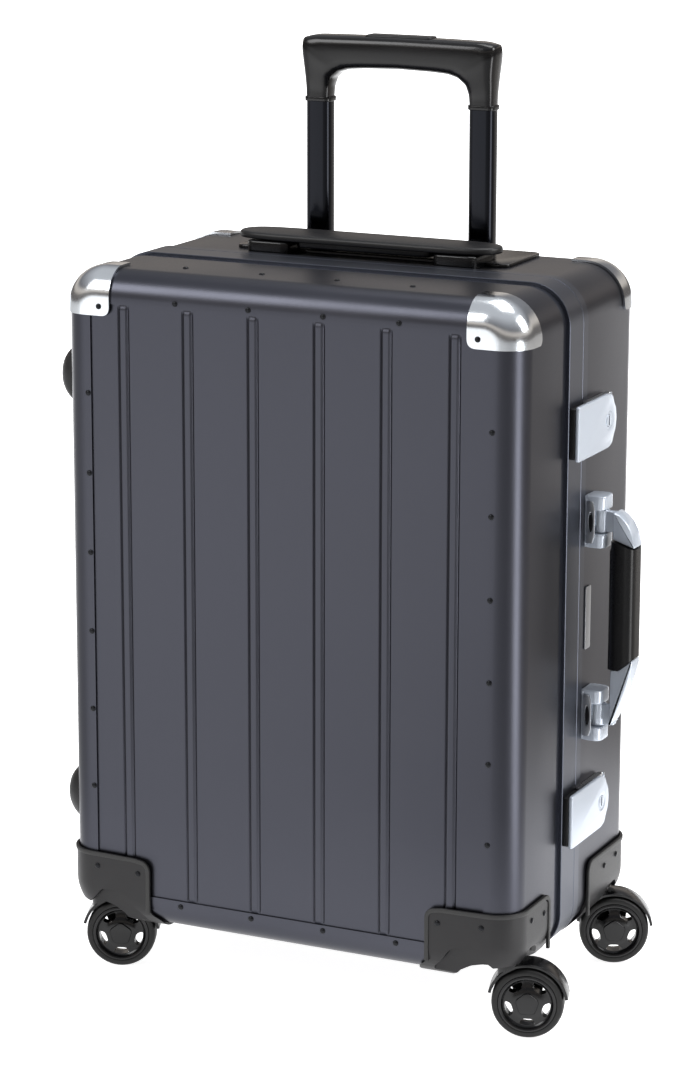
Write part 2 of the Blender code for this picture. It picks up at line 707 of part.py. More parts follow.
# ---------------------------------------------------------------- trolley
def tube(name, x, half_x, half_y, wall, z0, z1, mat):
    outer = rounded(x - half_x, x + half_x, TUBE_Y - half_y, TUBE_Y + half_y, 3.6)
    body = prism(name, outer, "z", z0, z1, mat)
    hole = rounded(x - half_x + wall, x + half_x - wall, TUBE_Y - half_y + wall,
                   TUBE_Y + half_y - wall, 2.5)
    cut(body, prism("cut_tube", hole, "z", z0 - 10.0, z1 + 10.0))
    body.data.materials.clear()
    body.data.materials.append(mat)
    return body


plate = prism("trolley_plate", rounded(-113.0, 113.0, 30.0, 97.5, 7.0), "z", 550.3,
              552.6, BLACK)
for sx in (-1, 1):
    x0, x1 = sorted((sx * 59.1, sx * 94.9))
    cut(plate, box("cut_block", x0, x1, 10.0, 50.4, 540.0, 560.0))
    hand = "left" if sx < 0 else "right"
    tube("trolley_outer_" + hand, sx * TUBE_X, 13.5, 10.6, 1.1, 58.0, 550.0, TUBE)
    tube("trolley_mid_" + hand, sx * TUBE_X, 11.9, 9.1, 1.1, 112.0, 553.2, TUBE)
    tube("trolley_inner_" + hand, sx * TUBE_X, 10.3, 7.6, 1.1, 232.0, INNER_TOP, TUBE)
    x0, x1 = sx * TUBE_X - 12.3, sx * TUBE_X + 12.3
    cut(plate, prism("cut_tube", rounded(x0, x1, TUBE_Y - 9.5, TUBE_Y + 9.5, 3.9), "z",
                     540.0, 560.0))
    x0, x1 = sx * TUBE_X - 13.9, sx * TUBE_X + 13.9
    cut(rear_band, prism("cut_tube", rounded(x0, x1, TUBE_Y - 11.0, TUBE_Y + 11.0, 3.9),
                         "z", 530.0, 560.0))
plate.data.materials.clear()
plate.data.materials.append(BLACK)

grip_right = [(0.0, 709.2), (30.0, GRIP_TOP), (60.0, 708.6), (74.0, 705.0), (80.0, 697.0),
              (79.4, 684.0), (78.2, 668.0), (77.6, INNER_TOP + GAP),
              (58.4, INNER_TOP + GAP), (57.5, 670.0), (54.5, 678.0), (48.0, 682.6),
              (38.0, 683.6), (0.0, 684.6)]
grip_pts = [p for p in grip_right if p[0] > 0]
grip_pts += [(-x, z) for x, z in reversed(grip_right)]
grip_pts += [(0.0, 709.2)]
clean = []
for p in grip_pts:
    if not clean or (abs(p[0] - clean[-1][0]) + abs(p[1] - clean[-1][1])) > 1e-6:
        clean.append(p)
trolley_grip = prism("trolley_grip", clean, "y", TUBE_Y - 12.5, TUBE_Y + 12.5, BLACK)
for way in (-1, 1):
    edge = box("cut_edge", -85.0, 85.0, min(TUBE_Y + way * 8.4, TUBE_Y + way * 20.0),
               max(TUBE_Y + way * 8.4, TUBE_Y + way * 20.0), 640.0, 672.0)
    cut(trolley_grip, edge)
for sx in (-1, 1):
    plug_pts = rounded(sx * TUBE_X - 8.8, sx * TUBE_X + 8.8, TUBE_Y - 6.1, TUBE_Y + 6.1, 2.0)
    join(trolley_grip, prism("stem", plug_pts, "z", INNER_TOP - 22.0, INNER_TOP + 6.0))
cut(trolley_grip, box("cut_button", -27.4, 27.4, TUBE_Y - 7.4, TUBE_Y + 7.4, 700.0, 720.0))
trolley_grip.data.materials.clear()
trolley_grip.data.materials.append(BLACK)
button = soft_box("trolley_button", -27.0, 27.0, TUBE_Y - 7.0, TUBE_Y + 7.0, 704.6, 711.4,
                  BLACK, 1.2, 2)


# ---------------------------------------------------------------- lid hinge
def hinge_leaf(name, sign, parity):
    hx, hy = HINGE_AXIS
    y_far = hy + sign * (18.0 if sign < 0 else 9.2)
    y_near = hy + sign * 3.6
    leaf = box(name, -188.0, -186.8, min(y_near, y_far), max(y_near, y_far), 118.0, 478.0,
               STEEL)
    for k in range(9):
        if k % 2 != parity:
            continue
        z0, z1 = 118.0 + 40.0 * k + 0.2, 158.0 + 40.0 * k - 0.2
        join(leaf, box("tab", -188.0, -186.8, min(hy, y_near + sign), max(hy, y_near + sign),
                       z0, z1))
        join(leaf, prism("knuckle", circle(hx, hy, 3.0, 14), "z", z0, z1))
    if parity == 0:
        join(leaf, prism("pin", circle(hx, hy, 1.4, 12), "z", 118.4, 477.6))
    else:
        cut(leaf, prism("cut_pin", circle(hx, hy, 1.75, 12), "z", 100.0, 500.0))
    leaf.data.materials.clear()
    leaf.data.materials.append(STEEL)
    return leaf


hinge_leaf("hinge_leaf_rear", 1, 0)
front_leaf = hinge_leaf("hinge_leaf_front", -1, 1)


# ---------------------------------------------------------------- side feet
def side_foot(name, y, z):
    """Oval domed foot with a flat pad at its end."""
    bm = bmesh.new()
    rings = []
    for out, scale in ((185.35, 1.0), (188.0, 0.985), (192.0, 0.9), (195.5, 0.76),
                       (198.0, 0.58), (FOOT_OUT, 0.44)):
        rings.append([bm.verts.new((-out, y + 15.0 * scale * math.cos(a),
                                    z + 23.0 * scale * math.sin(a)))
                      for a in np.linspace(0, 2 * math.pi, 20, endpoint=False)])
    for first, second in zip(rings, rings[1:]):
        for i in range(20):
            j = (i + 1) % 20
            bm.faces.new((first[i], first[j], second[j], second[i]))
    bm.faces.new(rings[0])
    bm.faces.new(rings[-1])
    return finish(bm, name, BLACK, 30.0)


for half in ("front", "rear"):
    side_foot(half + "_foot_upper", FOOT_Y[half], FOOT_Z[0])
    side_foot(half + "_foot_lower", FOOT_Y[half], FOOT_Z[1])


# ---------------------------------------------------------------- place and group
for obj in bpy.data.objects:
    obj.location.x += SHIFT_X * MM

pivot = bpy.data.objects.new("lid_axis", None)
bpy.context.scene.collection.objects.link(pivot)
pivot.location = ((HINGE_AXIS[0] + SHIFT_X) * MM, HINGE_AXIS[1] * MM, Z_MID * MM)
lid_prefix = ("front_band", "front_panel", "front_frame", "front_lining", "front_cap",
              "front_housing", "front_foot", "divider", "hinge_leaf_front",
              "front_left_", "front_right_", "upper_latch_catch", "lower_latch_catch")
bpy.context.view_layer.update()
for obj in bpy.data.objects:
    if obj.type == "MESH" and obj.name.startswith(lid_prefix):
        world = obj.matrix_world.copy()
        obj.parent = pivot
        obj.matrix_parent_inverse = pivot.matrix_world.inverted()
        obj.matrix_world = world
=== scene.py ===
import math
import bpy
import bmesh
import numpy as np
from mathutils import Euler, Matrix, Vector


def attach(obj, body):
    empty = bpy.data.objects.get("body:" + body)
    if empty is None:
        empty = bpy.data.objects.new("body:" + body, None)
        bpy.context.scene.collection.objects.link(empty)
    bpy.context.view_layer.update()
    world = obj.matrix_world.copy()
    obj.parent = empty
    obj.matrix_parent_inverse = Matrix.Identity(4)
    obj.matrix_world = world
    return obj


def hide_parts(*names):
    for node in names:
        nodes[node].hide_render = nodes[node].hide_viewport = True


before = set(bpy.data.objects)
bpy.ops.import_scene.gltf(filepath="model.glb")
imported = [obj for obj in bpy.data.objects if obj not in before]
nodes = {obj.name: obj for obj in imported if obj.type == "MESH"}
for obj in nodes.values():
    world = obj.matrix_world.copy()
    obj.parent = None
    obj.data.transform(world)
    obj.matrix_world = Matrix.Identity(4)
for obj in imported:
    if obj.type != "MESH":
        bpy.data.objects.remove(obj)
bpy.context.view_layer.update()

# ------------------------------------------------------------ sizes, mm
# x is counted from the middle of the shell, and SHIFT moves it to the frame.
SHIFT = -12.6
HALF_W = 185.0
HALF_D = 112.0
Z_LOW = 46.0
Z_TOP = 550.0
Z_MID = 298.0
HALF_H = 252.0
CORNER_R = 30.0
EDGE_R = 20.0
SHEET = 1.1
LIP = 24.5
RIB_X = (-133.25, -79.95, -26.65, 26.65, 79.95, 133.25)
SWIVEL = (171.0, 86.0)
TRAIL = 14.0
CASTER_TURN = {"front_left": 22.0, "front_right": 18.0,
               "rear_left": 16.0, "rear_right": 24.0}
LATCH_Z = {"upper": 442.0, "lower": 148.0}
BAIL = (195.5, 19.5)
BRACKET_Z = (370.0, 222.0)
TUBE_X = 68.0
TUBE_Y = 86.0
CAP_OUT = 2.0
CAP_GAP = 0.35
HOUSING_OUT = 2.2
WELL_R = 43.2
PAST = 230.0  # beyond the shell in x, for cutters
FOOT_Z = {"upper": 465.0, "lower": 137.0}
FOOT_Y = {"front": -81.0, "rear": 78.0}


# ------------------------------------------------------------ finishes
def linear(text):
    """sRGB hex to linear RGBA."""
    parts = [int(text[i:i + 2], 16) / 255.0 for i in (1, 3, 5)]
    return [c / 12.92 if c <= 0.04045 else ((c + 0.055) / 1.055) ** 2.4 for c in parts] + [1.0]


def add(tree, kind, settings=None, **links):
    """Add a node, set its attributes and inputs, and link the sockets given."""
    node = tree.nodes.new(kind)
    for key, value in (settings or {}).items():
        if isinstance(key, str) and hasattr(node, key):
            setattr(node, key, value)
        else:
            node.inputs[key].default_value = value
    for key, source in links.items():
        name = int(key[1:]) if key[0] == "i" and key[1:].isdigit() else key.replace("_", " ")
        tree.links.new(source, node.inputs[name])
    return node


def finish(name, dark, light, metallic, rough, grain_mm, bump=0.05, spread=0.06,
           stretch=(1.0, 1.0, 1.0), coat=0.0, shine=0.5):
    """A surface whose colour, roughness and relief drift with two scales of noise."""
    mat = bpy.data.materials.new(name)
    mat.use_nodes = True
    tree = mat.node_tree
    shader = tree.nodes["Principled BSDF"]
    where = add(tree, "ShaderNodeTexCoord")
    scale = add(tree, "ShaderNodeMapping", {"Scale": stretch}, Vector=where.outputs["Object"])
    broad = add(tree, "ShaderNodeTexNoise", {"Scale": 9.0, "Detail": 3.0},
                Vector=scale.outputs[0])
    fine = add(tree, "ShaderNodeTexNoise", {"Scale": 1000.0 / grain_mm, "Detail": 4.0},
               Vector=scale.outputs[0])
    tint = add(tree, "ShaderNodeMix", {"data_type": "RGBA"}, i0=broad.outputs[0])
    tint.inputs[6].default_value = linear(dark)
    tint.inputs[7].default_value = linear(light)
    tree.links.new(tint.outputs[2], shader.inputs["Base Color"])
    mix = add(tree, "ShaderNodeMath", {"operation": "ADD"}, i0=broad.outputs[0],
              i1=fine.outputs[0])
    level = add(tree, "ShaderNodeMapRange", {"From Min": 0.6, "From Max": 1.4,
                                             "To Min": rough - spread, "To Max": rough + spread},
                Value=mix.outputs[0])
    tree.links.new(level.outputs[0], shader.inputs["Roughness"])
    shader.inputs["Metallic"].default_value = metallic
    if coat:
        shader.inputs["Coat Weight"].default_value = coat
        shader.inputs["Coat Roughness"].default_value = 0.08
    shader.inputs["Specular IOR Level"].default_value = shine
    if bump:
        relief = add(tree, "ShaderNodeBump", {"Strength": bump, "Distance": 0.0004},
                     Height=fine.outputs[0])
        tree.links.new(relief.outputs[0], shader.inputs["Normal"])
    return mat


# Blue-grey dyed anodised aluminium sheet, matt etched and sealed.
SHELL = finish("anodised_sheet", "#404148", "#47484f", 1.0, 0.34, 0.6, 0.04)
# The same dyed anodising over an extruded rail, a little glossier.
RAIL = finish("anodised_rail", "#4d5059", "#555861", 1.0, 0.36, 0.5, 0.03)
# Pressed aluminium, polished on a wheel, with fine buffing lines.
POLISHED = finish("buffed_aluminium", "#c2c6ca", "#d2d6da", 1.0, 0.17, 0.8,
                  0.04, 0.05, stretch=(1.0, 1.0, 0.2))
# Pressed aluminium under a thin clear lacquer, blasted to a satin white.
SATIN = finish("satin_aluminium", "#c9cbce", "#dadcde", 1.0, 0.3, 0.5, 0.05)
# Zinc casting under a silver lacquer.
PLATE = finish("silver_lacquer", "#b6bec9", "#c3cad4", 0.35, 0.22, 0.3, 0.008)
# Injection-moulded nylon with a light texture.
HOUSING = finish("moulded_nylon", "#100f11", "#171618", 0.0, 0.4, 0.7, 0.18,
                 shine=0.35)
# Injection-moulded ABS with a semi-gloss surface.
BLACK = finish("moulded_abs", "#070708", "#0c0c0e", 0.0, 0.22, 0.9, 0.04,
               shine=0.35)
# The same ABS eroded to a soft matt.
MATT = finish("eroded_abs", "#0c0c0d", "#131315", 0.0, 0.42, 0.4, 0.15, shine=0.35)
# Drawn aluminium tube, dyed black and bright-sealed.
TUBE = finish("black_drawn_tube", "#101116", "#17191f", 1.0, 0.14, 1.5, 0.01,
              0.04, stretch=(1.0, 1.0, 0.05), coat=0.2)
# Cast polyurethane tread.
TYRE = finish("cast_tread", "#080808", "#0f0f0f", 0.0, 0.5, 0.5, 0.15, shine=0.35)
# Foam-backed sheet with a fine grain, glued round the handle.
COVER = finish("grained_cover", "#050506", "#0a0a0c", 0.0, 0.28, 0.5, 0.1, shine=0.28)
# Woven polyester lining, dark grey.
CLOTH = finish("woven_lining", "#3a3a40", "#47474e", 0.0, 0.85, 0.6, 0.5)
# Pressed steel, zinc plated.
STEEL = finish("zinc_steel", "#9a9ca0", "#adb0b4", 1.0, 0.32, 0.6, 0.05)
# Upset rivet heads, black-dyed aluminium.
RIVET = finish("black_rivet", "#17181a", "#222326", 0.8, 0.3, 0.4, 0.03)
# Extruded rubber seal.
SEAL = finish("extruded_seal", "#141414", "#1d1d1d", 0.0, 0.5, 0.4, 0.1)


# ------------------------------------------------------------ surfaces
def grid_faces(nu, nv, close_u, close_v):
    """Quads of a grid of nu by nv points, joined end to end where asked."""
    u, v = np.meshgrid(np.arange(nu if close_u else nu - 1),
                       np.arange(nv if close_v else nv - 1), indexing="ij")
    u, v = u.ravel(), v.ravel()
    un, vn = (u + 1) % nu, (v + 1) % nv
    return np.stack([u * nv + v, un * nv + v, un * nv + vn, u * nv + vn], -1).tolist()


def raw_mesh(name, points, faces, place=True):
    """A mesh in metres from points in mm, with its faces turned outwards."""
    mesh = bpy.data.meshes.new(name)
    shift = SHIFT if place else 0.0
    co = (np.asarray(points, float).reshape(-1, 3) + (shift, 0.0, 0.0)) * 0.001
    mesh.from_pydata(co.tolist(), [], faces)
    bm = bmesh.new()
    bm.from_mesh(mesh)
    bmesh.ops.remove_doubles(bm, verts=bm.verts, dist=1e-6)
    bmesh.ops.recalc_face_normals(bm, faces=bm.faces)
    bm.to_mesh(mesh)
    bm.free()
    return mesh


def show(name, mesh, material, body, stands_for=(), sharp=38.0):
    """Put a mesh in the scene as a piece that rides on one body."""
    mesh.materials.clear()
    mesh.materials.append(material)
    mesh.shade_smooth()
    mesh.set_sharp_from_angle(angle=math.radians(sharp))
    obj = bpy.data.objects.new(name, mesh)
    mesh.name = name
    bpy.context.scene.collection.objects.link(obj)
    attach(obj, body)
    if stands_for:
        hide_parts(*stands_for)
    return obj


def combined(mesh, others, how):
    """One exact Boolean of a mesh with several others, applied at once."""
    target = bpy.data.objects.new("work", mesh)
    bpy.context.scene.collection.objects.link(target)
    for other in others:
        tool = bpy.data.objects.new("cutter", other)
        bpy.context.scene.collection.objects.link(tool)
        mod = target.modifiers.new("bool", "BOOLEAN")
        mod.operation = how
        mod.solver = "EXACT"
        mod.object = tool
        deps = bpy.context.evaluated_depsgraph_get()
        result = bpy.data.meshes.new_from_object(target.evaluated_get(deps))
        target.modifiers.clear()
        target.data = result
        bpy.data.objects.remove(tool, do_unlink=True)
    mesh = target.data
    bpy.data.objects.remove(target, do_unlink=True)
    return mesh


def merged(name, meshes):
    """Several meshes in one, for a piece made of equal parts."""
    bm = bmesh.new()
    for mesh in meshes:
        bm.from_mesh(mesh)
    out = bpy.data.meshes.new(name)
    bm.to_mesh(out)
    bm.free()
    return out


def moved(mesh, matrix):
    """A copy of a mesh, moved by a matrix in metres."""
    out = mesh.copy()
    out.transform(matrix)
    return out


def soften(points, radius, steps=5):
    """A polygon with each corner replaced by a curve that starts radius away."""
    pts = np.asarray(points, float)
    out = []
    t = np.linspace(0.0, 1.0, steps)[:, None]
    for i, p in enumerate(pts):
        a, b = pts[i - 1] - p, pts[(i + 1) % len(pts)] - p
        la, lb = np.linalg.norm(a), np.linalg.norm(b)
        ra, rb = min(radius, 0.49 * la), min(radius, 0.49 * lb)
        start, end = p + a / la * ra, p + b / lb * rb
        out.append((1 - t) ** 2 * start + 2 * t * (1 - t) * p + t ** 2 * end)
    return np.concatenate(out)


def round_rect(u0, u1, v0, v1, r, steps=8):
    """Rectangle with quarter-circle corners."""
    a = np.linspace(0.0, math.pi / 2, steps)
    out = []
    for k, (cu, cv) in enumerate(((u1 - r, v1 - r), (u0 + r, v1 - r), (u0 + r, v0 + r),
                                  (u1 - r, v0 + r))):
        out.append(np.stack([cu + r * np.cos(a + k * math.pi / 2),
                             cv + r * np.sin(a + k * math.pi / 2)], -1))
    return np.concatenate(out)


def ring(u, v, r, steps=40):
    """A circle: u + r cos a, v + r sin a."""
    a = np.linspace(0, 2 * math.pi, steps, endpoint=False)
    return np.stack([u + r * np.cos(a), v + r * np.sin(a)], -1)


def inset_ring(outline, by):
    """Move each outline point inwards along the bisector of its two edges."""
    before = np.roll(outline, 1, 0)
    after = np.roll(outline, -1, 0)
    e1, e2 = outline - before, after - outline
    n = np.stack([e1[:, 1], -e1[:, 0]], -1) / np.maximum(np.linalg.norm(e1, axis=1), 1e-9)[:, None]
    m = np.stack([e2[:, 1], -e2[:, 0]], -1) / np.maximum(np.linalg.norm(e2, axis=1), 1e-9)[:, None]
    b = n + m
    b /= np.maximum(np.linalg.norm(b, axis=1), 1e-9)[:, None]
    area = 0.5 * np.sum(outline[:, 0] * after[:, 1] - after[:, 0] * outline[:, 1])
    return outline - b * by * (1.0 if area > 0 else -1.0)


def lay(flat, height, axis):
    """Outline points at a height along an axis, as 3-D points."""
    h = np.full(len(flat), height)
    cols = {"x": (h, flat[:, 0], flat[:, 1]), "y": (flat[:, 0], h, flat[:, 1]),
            "z": (flat[:, 0], flat[:, 1], h)}[axis]
    return np.stack(cols, -1)


def stacked(name, outline, stations, axis, loop=False, place=True):
    """A solid whose section is one outline, inset by each station's first value at the
    height of its second; ends are capped, or joined to each other in a loop."""
    rings = np.array([lay(inset_ring(outline, inset), height, axis)
                      for inset, height in stations])
    k, n = rings.shape[:2]
    faces = grid_faces(k, n, loop, True)
    if not loop:
        faces.append(list(range(n)))
        faces.append([(k - 1) * n + i for i in range(n)])
    return raw_mesh(name, rings, faces, place)


def slab(name, outline, low, high, axis, edge, top_edge=None, steps=4, place=True):
    """Plate between two heights, with both rims rounded by a quarter circle."""
    top = edge if top_edge is None else top_edge
    q = np.linspace(0.0, math.pi / 2, steps)
    stations = [(edge * (1 - math.sin(a)), low + edge * (1 - math.cos(a))) for a in q]
    stations += [(top * (1 - math.sin(a)), high - top * (1 - math.cos(a))) for a in q[::-1]]
    return stacked(name, outline, stations, axis, place=place)


def turned(name, profile, centre, axis, steps=48, loop=False, place=True):
    """Carry a profile of (radius, height) round an axis."""
    pts = np.asarray(profile, float)
    z = Vector(axis).normalized()
    x = z.orthogonal().normalized()
    y = z.cross(x)
    a = np.linspace(0, 2 * math.pi, steps, endpoint=False)
    spokes = np.outer(np.cos(a), x) + np.outer(np.sin(a), y)
    rings = (np.asarray(centre) + pts[:, 0, None, None] * spokes[None]
             + pts[:, 1, None, None] * np.asarray(z)[None, None])
    k, n = rings.shape[:2]
    faces = grid_faces(k, n, loop, True)
    if not loop:
        faces.append(list(range(n)))
        faces.append([(k - 1) * n + i for i in range(n)])
    return raw_mesh(name, rings, faces, place)


def carried(name, path, normals, section, place=True, closed=False):
    """Carry a section (along the normal, along the side) down a 3-D path."""
    p = np.asarray(path, float)
    n = np.asarray(normals, float)
    n /= np.linalg.norm(n, axis=1)[:, None]
    if closed:
        t = np.roll(p, -1, 0) - np.roll(p, 1, 0)
    else:
        t = np.gradient(p, axis=0)
    t /= np.linalg.norm(t, axis=1)[:, None]
    side = np.cross(t, n)
    side /= np.linalg.norm(side, axis=1)[:, None]
    sec = np.asarray(section, float)
    rings = (p[:, None] + n[:, None] * sec[None, :, 0, None]
             + side[:, None] * sec[None, :, 1, None])
    k, m = rings.shape[:2]
    faces = grid_faces(k, m, closed, True)
    if not closed:
        faces.append(list(range(m)))
        faces.append([(k - 1) * m + i for i in range(m)])
    return raw_mesh(name, rings, faces, place)


# ------------------------------------------------------------ the two shells
def shell_ring(inset, lower=0.0, steps=14):
    """Rounded rectangle in x and z, inset from the shell's wall."""
    r = max(CORNER_R - inset, 1.0)
    return round_rect(-HALF_W + inset, HALF_W - inset, Z_LOW + inset + lower,
                      Z_TOP - inset - lower, r, steps)


def round_shell(name, profile, loop=True, place=True):
    """Carry a profile of (inset, y[, lower]) round the shell's outline."""
    rings = []
    for station in profile:
        lower = station[2] if len(station) > 2 else 0.0
        rings.append(lay(shell_ring(station[0], lower), station[1], "y"))
    rings = np.array(rings)
    k, n = rings.shape[:2]
    faces = grid_faces(k, n, loop, True)
    if not loop:
        faces.append(list(range(n)))
        faces.append([(k - 1) * n + i for i in range(n)])
    return raw_mesh(name, rings, faces, place)


def edge_arc(side, grow, steps=10):
    """Quarter circle from the face to the wall: (inset, y)."""
    a = np.linspace(0.0, math.pi / 2, steps)
    r = EDGE_R + grow
    return [(EDGE_R - r * math.sin(t), side * (HALF_D - EDGE_R + r * math.cos(t))) for t in a]


def block(x0, x1, y0, y1, z0, z1):
    """Plain box, used to cut."""
    pts = [(x, y, z) for x in (x0, x1) for y in (y0, y1) for z in (z0, z1)]
    quads = [(0, 1, 3, 2), (4, 6, 7, 5), (0, 4, 5, 1), (2, 3, 7, 6), (0, 2, 6, 4), (1, 5, 7, 3)]
    return raw_mesh("cutter", pts, quads)


def corner_cutters(side):
    """The two blocks removed at a shell's bottom corners, behind the housings."""
    y0, y1 = sorted((side * 56.0, side * 140.0))
    wells = [slab("well", ring(s * SWIVEL[0], side * SWIVEL[1], 44.6, 48), 20.0, 70.0, "z", 0.01)
             for s in (-1, 1)]
    return wells + [block(118.5, PAST, y0, y1, 20.0, 76.0),
                    block(-PAST, -118.5, y0, y1, 20.0, 76.0)]


def band(half, side, wall_y):
    """Bent skin: a lip on the face, a quarter-circle edge and the wall."""
    outer = [(LIP, side * HALF_D)] + edge_arc(side, 0.0) + [(0.0, wall_y)]
    inner = [(SHEET, wall_y)] + list(reversed(edge_arc(side, -SHEET)))
    inner += [(LIP, side * (HALF_D - SHEET))]
    mesh = round_shell(half + "_skin", outer + inner)
    return combined(mesh, corner_cutters(side), "DIFFERENCE")


def rib_height(x):
    """Each rib: a raised flat with smooth flanks, between two narrow grooves."""
    out = np.zeros_like(x)
    for c in RIB_X:
        off = np.abs(x - c)
        out += 0.85 / (1.0 + np.exp(np.clip((off - 2.7) / 0.22, -30, 30)))
        out -= 0.8 * np.exp(-((off - 4.1) / 0.5) ** 2)
    return out


def panel(half, side):
    """Height field over the face: ribs in x, faded out near the ends in z."""
    edge_x, edge_z = HALF_W - 20.4, HALF_H - 20.4
    fine = np.concatenate([c + np.linspace(-5.6, 5.6, 45) for c in RIB_X])
    x = np.unique(np.concatenate([np.linspace(-edge_x, edge_x, 30), fine]).round(3))
    z = np.unique(np.concatenate([np.linspace(-edge_z, edge_z, 40),
                                  np.linspace(edge_z - 9, edge_z - 3, 9),
                                  -np.linspace(edge_z - 9, edge_z - 3, 9)]).round(3))
    X, Z = np.meshgrid(x, z, indexing="ij")
    fade = np.clip((edge_z - 4.0 - np.abs(Z)) / 4.0, 0.0, 1.0)
    fade = fade * fade * (3 - 2 * fade)
    face = HALF_D - SHEET - 0.3
    Y = side * (face + rib_height(X) * fade)
    front = np.stack([X, Y, Z + Z_MID], -1)
    back = np.stack([X, np.full_like(X, side * (face - SHEET)), Z + Z_MID], -1)
    nu, nv = X.shape
    top = np.array(grid_faces(nu, nv, False, False))
    low = top[:, ::-1] + nu * nv
    rim = ([i * nv for i in range(nu)] + [(nu - 1) * nv + j for j in range(1, nv)]
           + [i * nv + nv - 1 for i in range(nu - 2, -1, -1)] + list(range(nv - 2, 0, -1)))
    walls = [(a, b, b + nu * nv, a + nu * nv) for a, b in zip(rim, rim[1:] + rim[:1])]
    pts = np.concatenate([front.reshape(-1, 3), back.reshape(-1, 3)])
    mesh = raw_mesh(half + "_sheet", pts, top.tolist() + low.tolist() + walls)
    return combined(mesh, [block(117.6, PAST, -140, 140, 20.0, 76.4),
                           block(-PAST, -117.6, -140, 140, 20.0, 76.4)], "DIFFERENCE")


for half, side, wall in (("front", -1, -36.3), ("rear", 1, 8.9)):
    body = half + "_shell"
    show(half + "_skin", band(half, side, wall), SHELL, body, [half + "_band"])
    show(half + "_sheet", panel(half, side), SHELL, body, [half + "_panel"], 60.0)

front_rail = [(1.4, -42.0), (1.4, -26.6), (-1.1, -26.6), (-1.5, -26.2), (-1.5, -1.55),
              (-1.1, -1.15), (5.5, -1.15), (5.5, -6.0), (3.9, -9.0), (3.9, -42.0)]
rear_rail = [(-1.1, -0.85), (-1.5, -0.45), (-1.5, 8.2), (-1.1, 8.6), (1.4, 8.6), (1.4, 20.0),
             (3.9, 20.0), (3.9, 8.0), (7.6, 8.0), (7.6, -6.0), (6.0, -6.0), (6.0, -0.85)]
show("front_rail", round_shell("front_rail", front_rail), RAIL, "front_shell", ["front_frame"])
show("rear_rail", round_shell("rear_rail", rear_rail), RAIL, "rear_shell", ["rear_frame"])


# ------------------------------------------------------------ rivets
RIVET_HEAD = [(2.2, -0.6), (2.2, 0.25), (2.05, 0.55), (1.6, 0.9), (0.9, 1.12), (0.3, 1.18)]


def rivets(name, body, spots, material=None, size=1.0):
    """Low domed heads, each given as (point on the surface, direction out)."""
    head = [(r * size, h * size) for r, h in RIVET_HEAD]
    parts = [turned(name, head, p, n, 20) for p, n in spots]
    show(name, merged(name, parts), material or RIVET, body)


FACE_COLUMNS = (457.5, 396.6, 335.6, 274.6, 213.7, 152.7)
for half, side in (("front", -1), ("rear", 1)):
    spots = []
    out = (0, side, 0)
    y = side * HALF_D
    for x in (-89.3, -29.4, 30.6, 90.5):
        spots += [((x, y, 529.8), out), ((x, y, 66.2), out)]
    for z in FACE_COLUMNS:
        spots += [((-163.0, y, z), out), ((163.0, y, z), out)]
    rivets(half + "_face_rivets", half + "_shell", spots)
spots = []
for x in (-100.0, -37.0, 24.0, 84.0):
    spots += [((x, -75.0, Z_TOP), (0, 0, 1)), ((x, -75.0, Z_LOW), (0, 0, -1))]
for z in (490.0, 420.0, 350.0, 280.0, 210.0, 130.0):
    spots.append(((-HALF_W, -55.0, z), (-1, 0, 0)))
rivets("front_wall_rivets", "front_shell", spots)
spots = [((x, 70.0, Z_LOW), (0, 0, -1)) for x in (-90.0, 0.0, 90.0)]
for z in (490.0, 420.0, 350.0, 280.0, 210.0, 130.0):
    spots.append(((-HALF_W, 55.0, z), (-1, 0, 0)))
rivets("rear_wall_rivets", "rear_shell", spots)


# ------------------------------------------------------------ top corner caps
def corner_cap(name, sx, sy):
    """A pressed corner: the space between the shell's outside moved out by two amounts, kept
    within a rounded outline on the face and another on the wall."""
    def skin(grow):
        """The shell's outside moved out by grow."""
        prof = [(60.0, sy * (HALF_D + grow))]
        prof += [(i, y) for i, y in edge_arc(sy, grow, 14)]
        prof += [(-grow, sy * 20.0), (60.0, sy * 20.0)]
        return round_shell(name, prof, loop=False)
    x_edge, z_edge = 143.5, 516.5
    piece = combined(skin(CAP_OUT), [skin(CAP_GAP)], "DIFFERENCE")
    front = soften([(sx * x_edge, z_edge), (sx * PAST, z_edge), (sx * PAST, 600.0),
                    (sx * x_edge, 600.0)], 7.0, 8)
    keep_front = slab("cutter", front, -140, 140, "y", 0.01)
    flank = soften([(sy * 80.0, 515.5), (sy * 140.0, 515.5), (sy * 140.0, 600.0),
                    (sy * 80.0, 600.0)], 7.0, 8)
    keep_flank = slab("cutter", flank, *sorted((sx * 100.0, sx * PAST)), "x", 0.01)
    return combined(piece, [keep_front, keep_flank], "INTERSECT")


def rim_path(sx, sy, x0, z0, y0, steps=10):
    """Line on the shell's surface along a cap or housing's edge: on the face at height z0
    from x0 to the edge, round the edge and along the wall to y0."""
    t = np.linspace(0, math.pi / 2, steps)
    pts, nor = [], []
    for x in np.linspace(x0, HALF_W - EDGE_R, 4):
        pts.append((sx * x, sy * HALF_D, z0))
        nor.append((0, sy, 0))
    for a in t[1:]:
        pts.append((sx * (HALF_W - EDGE_R + EDGE_R * math.sin(a)),
                    sy * (HALF_D - EDGE_R + EDGE_R * math.cos(a)), z0))
        nor.append((sx * math.sin(a), sy * math.cos(a), 0))
    for y in np.linspace(HALF_D - EDGE_R, y0, 4)[1:]:
        pts.append((sx * HALF_W, sy * y, z0))
        nor.append((sx, 0, 0))
    return pts, nor


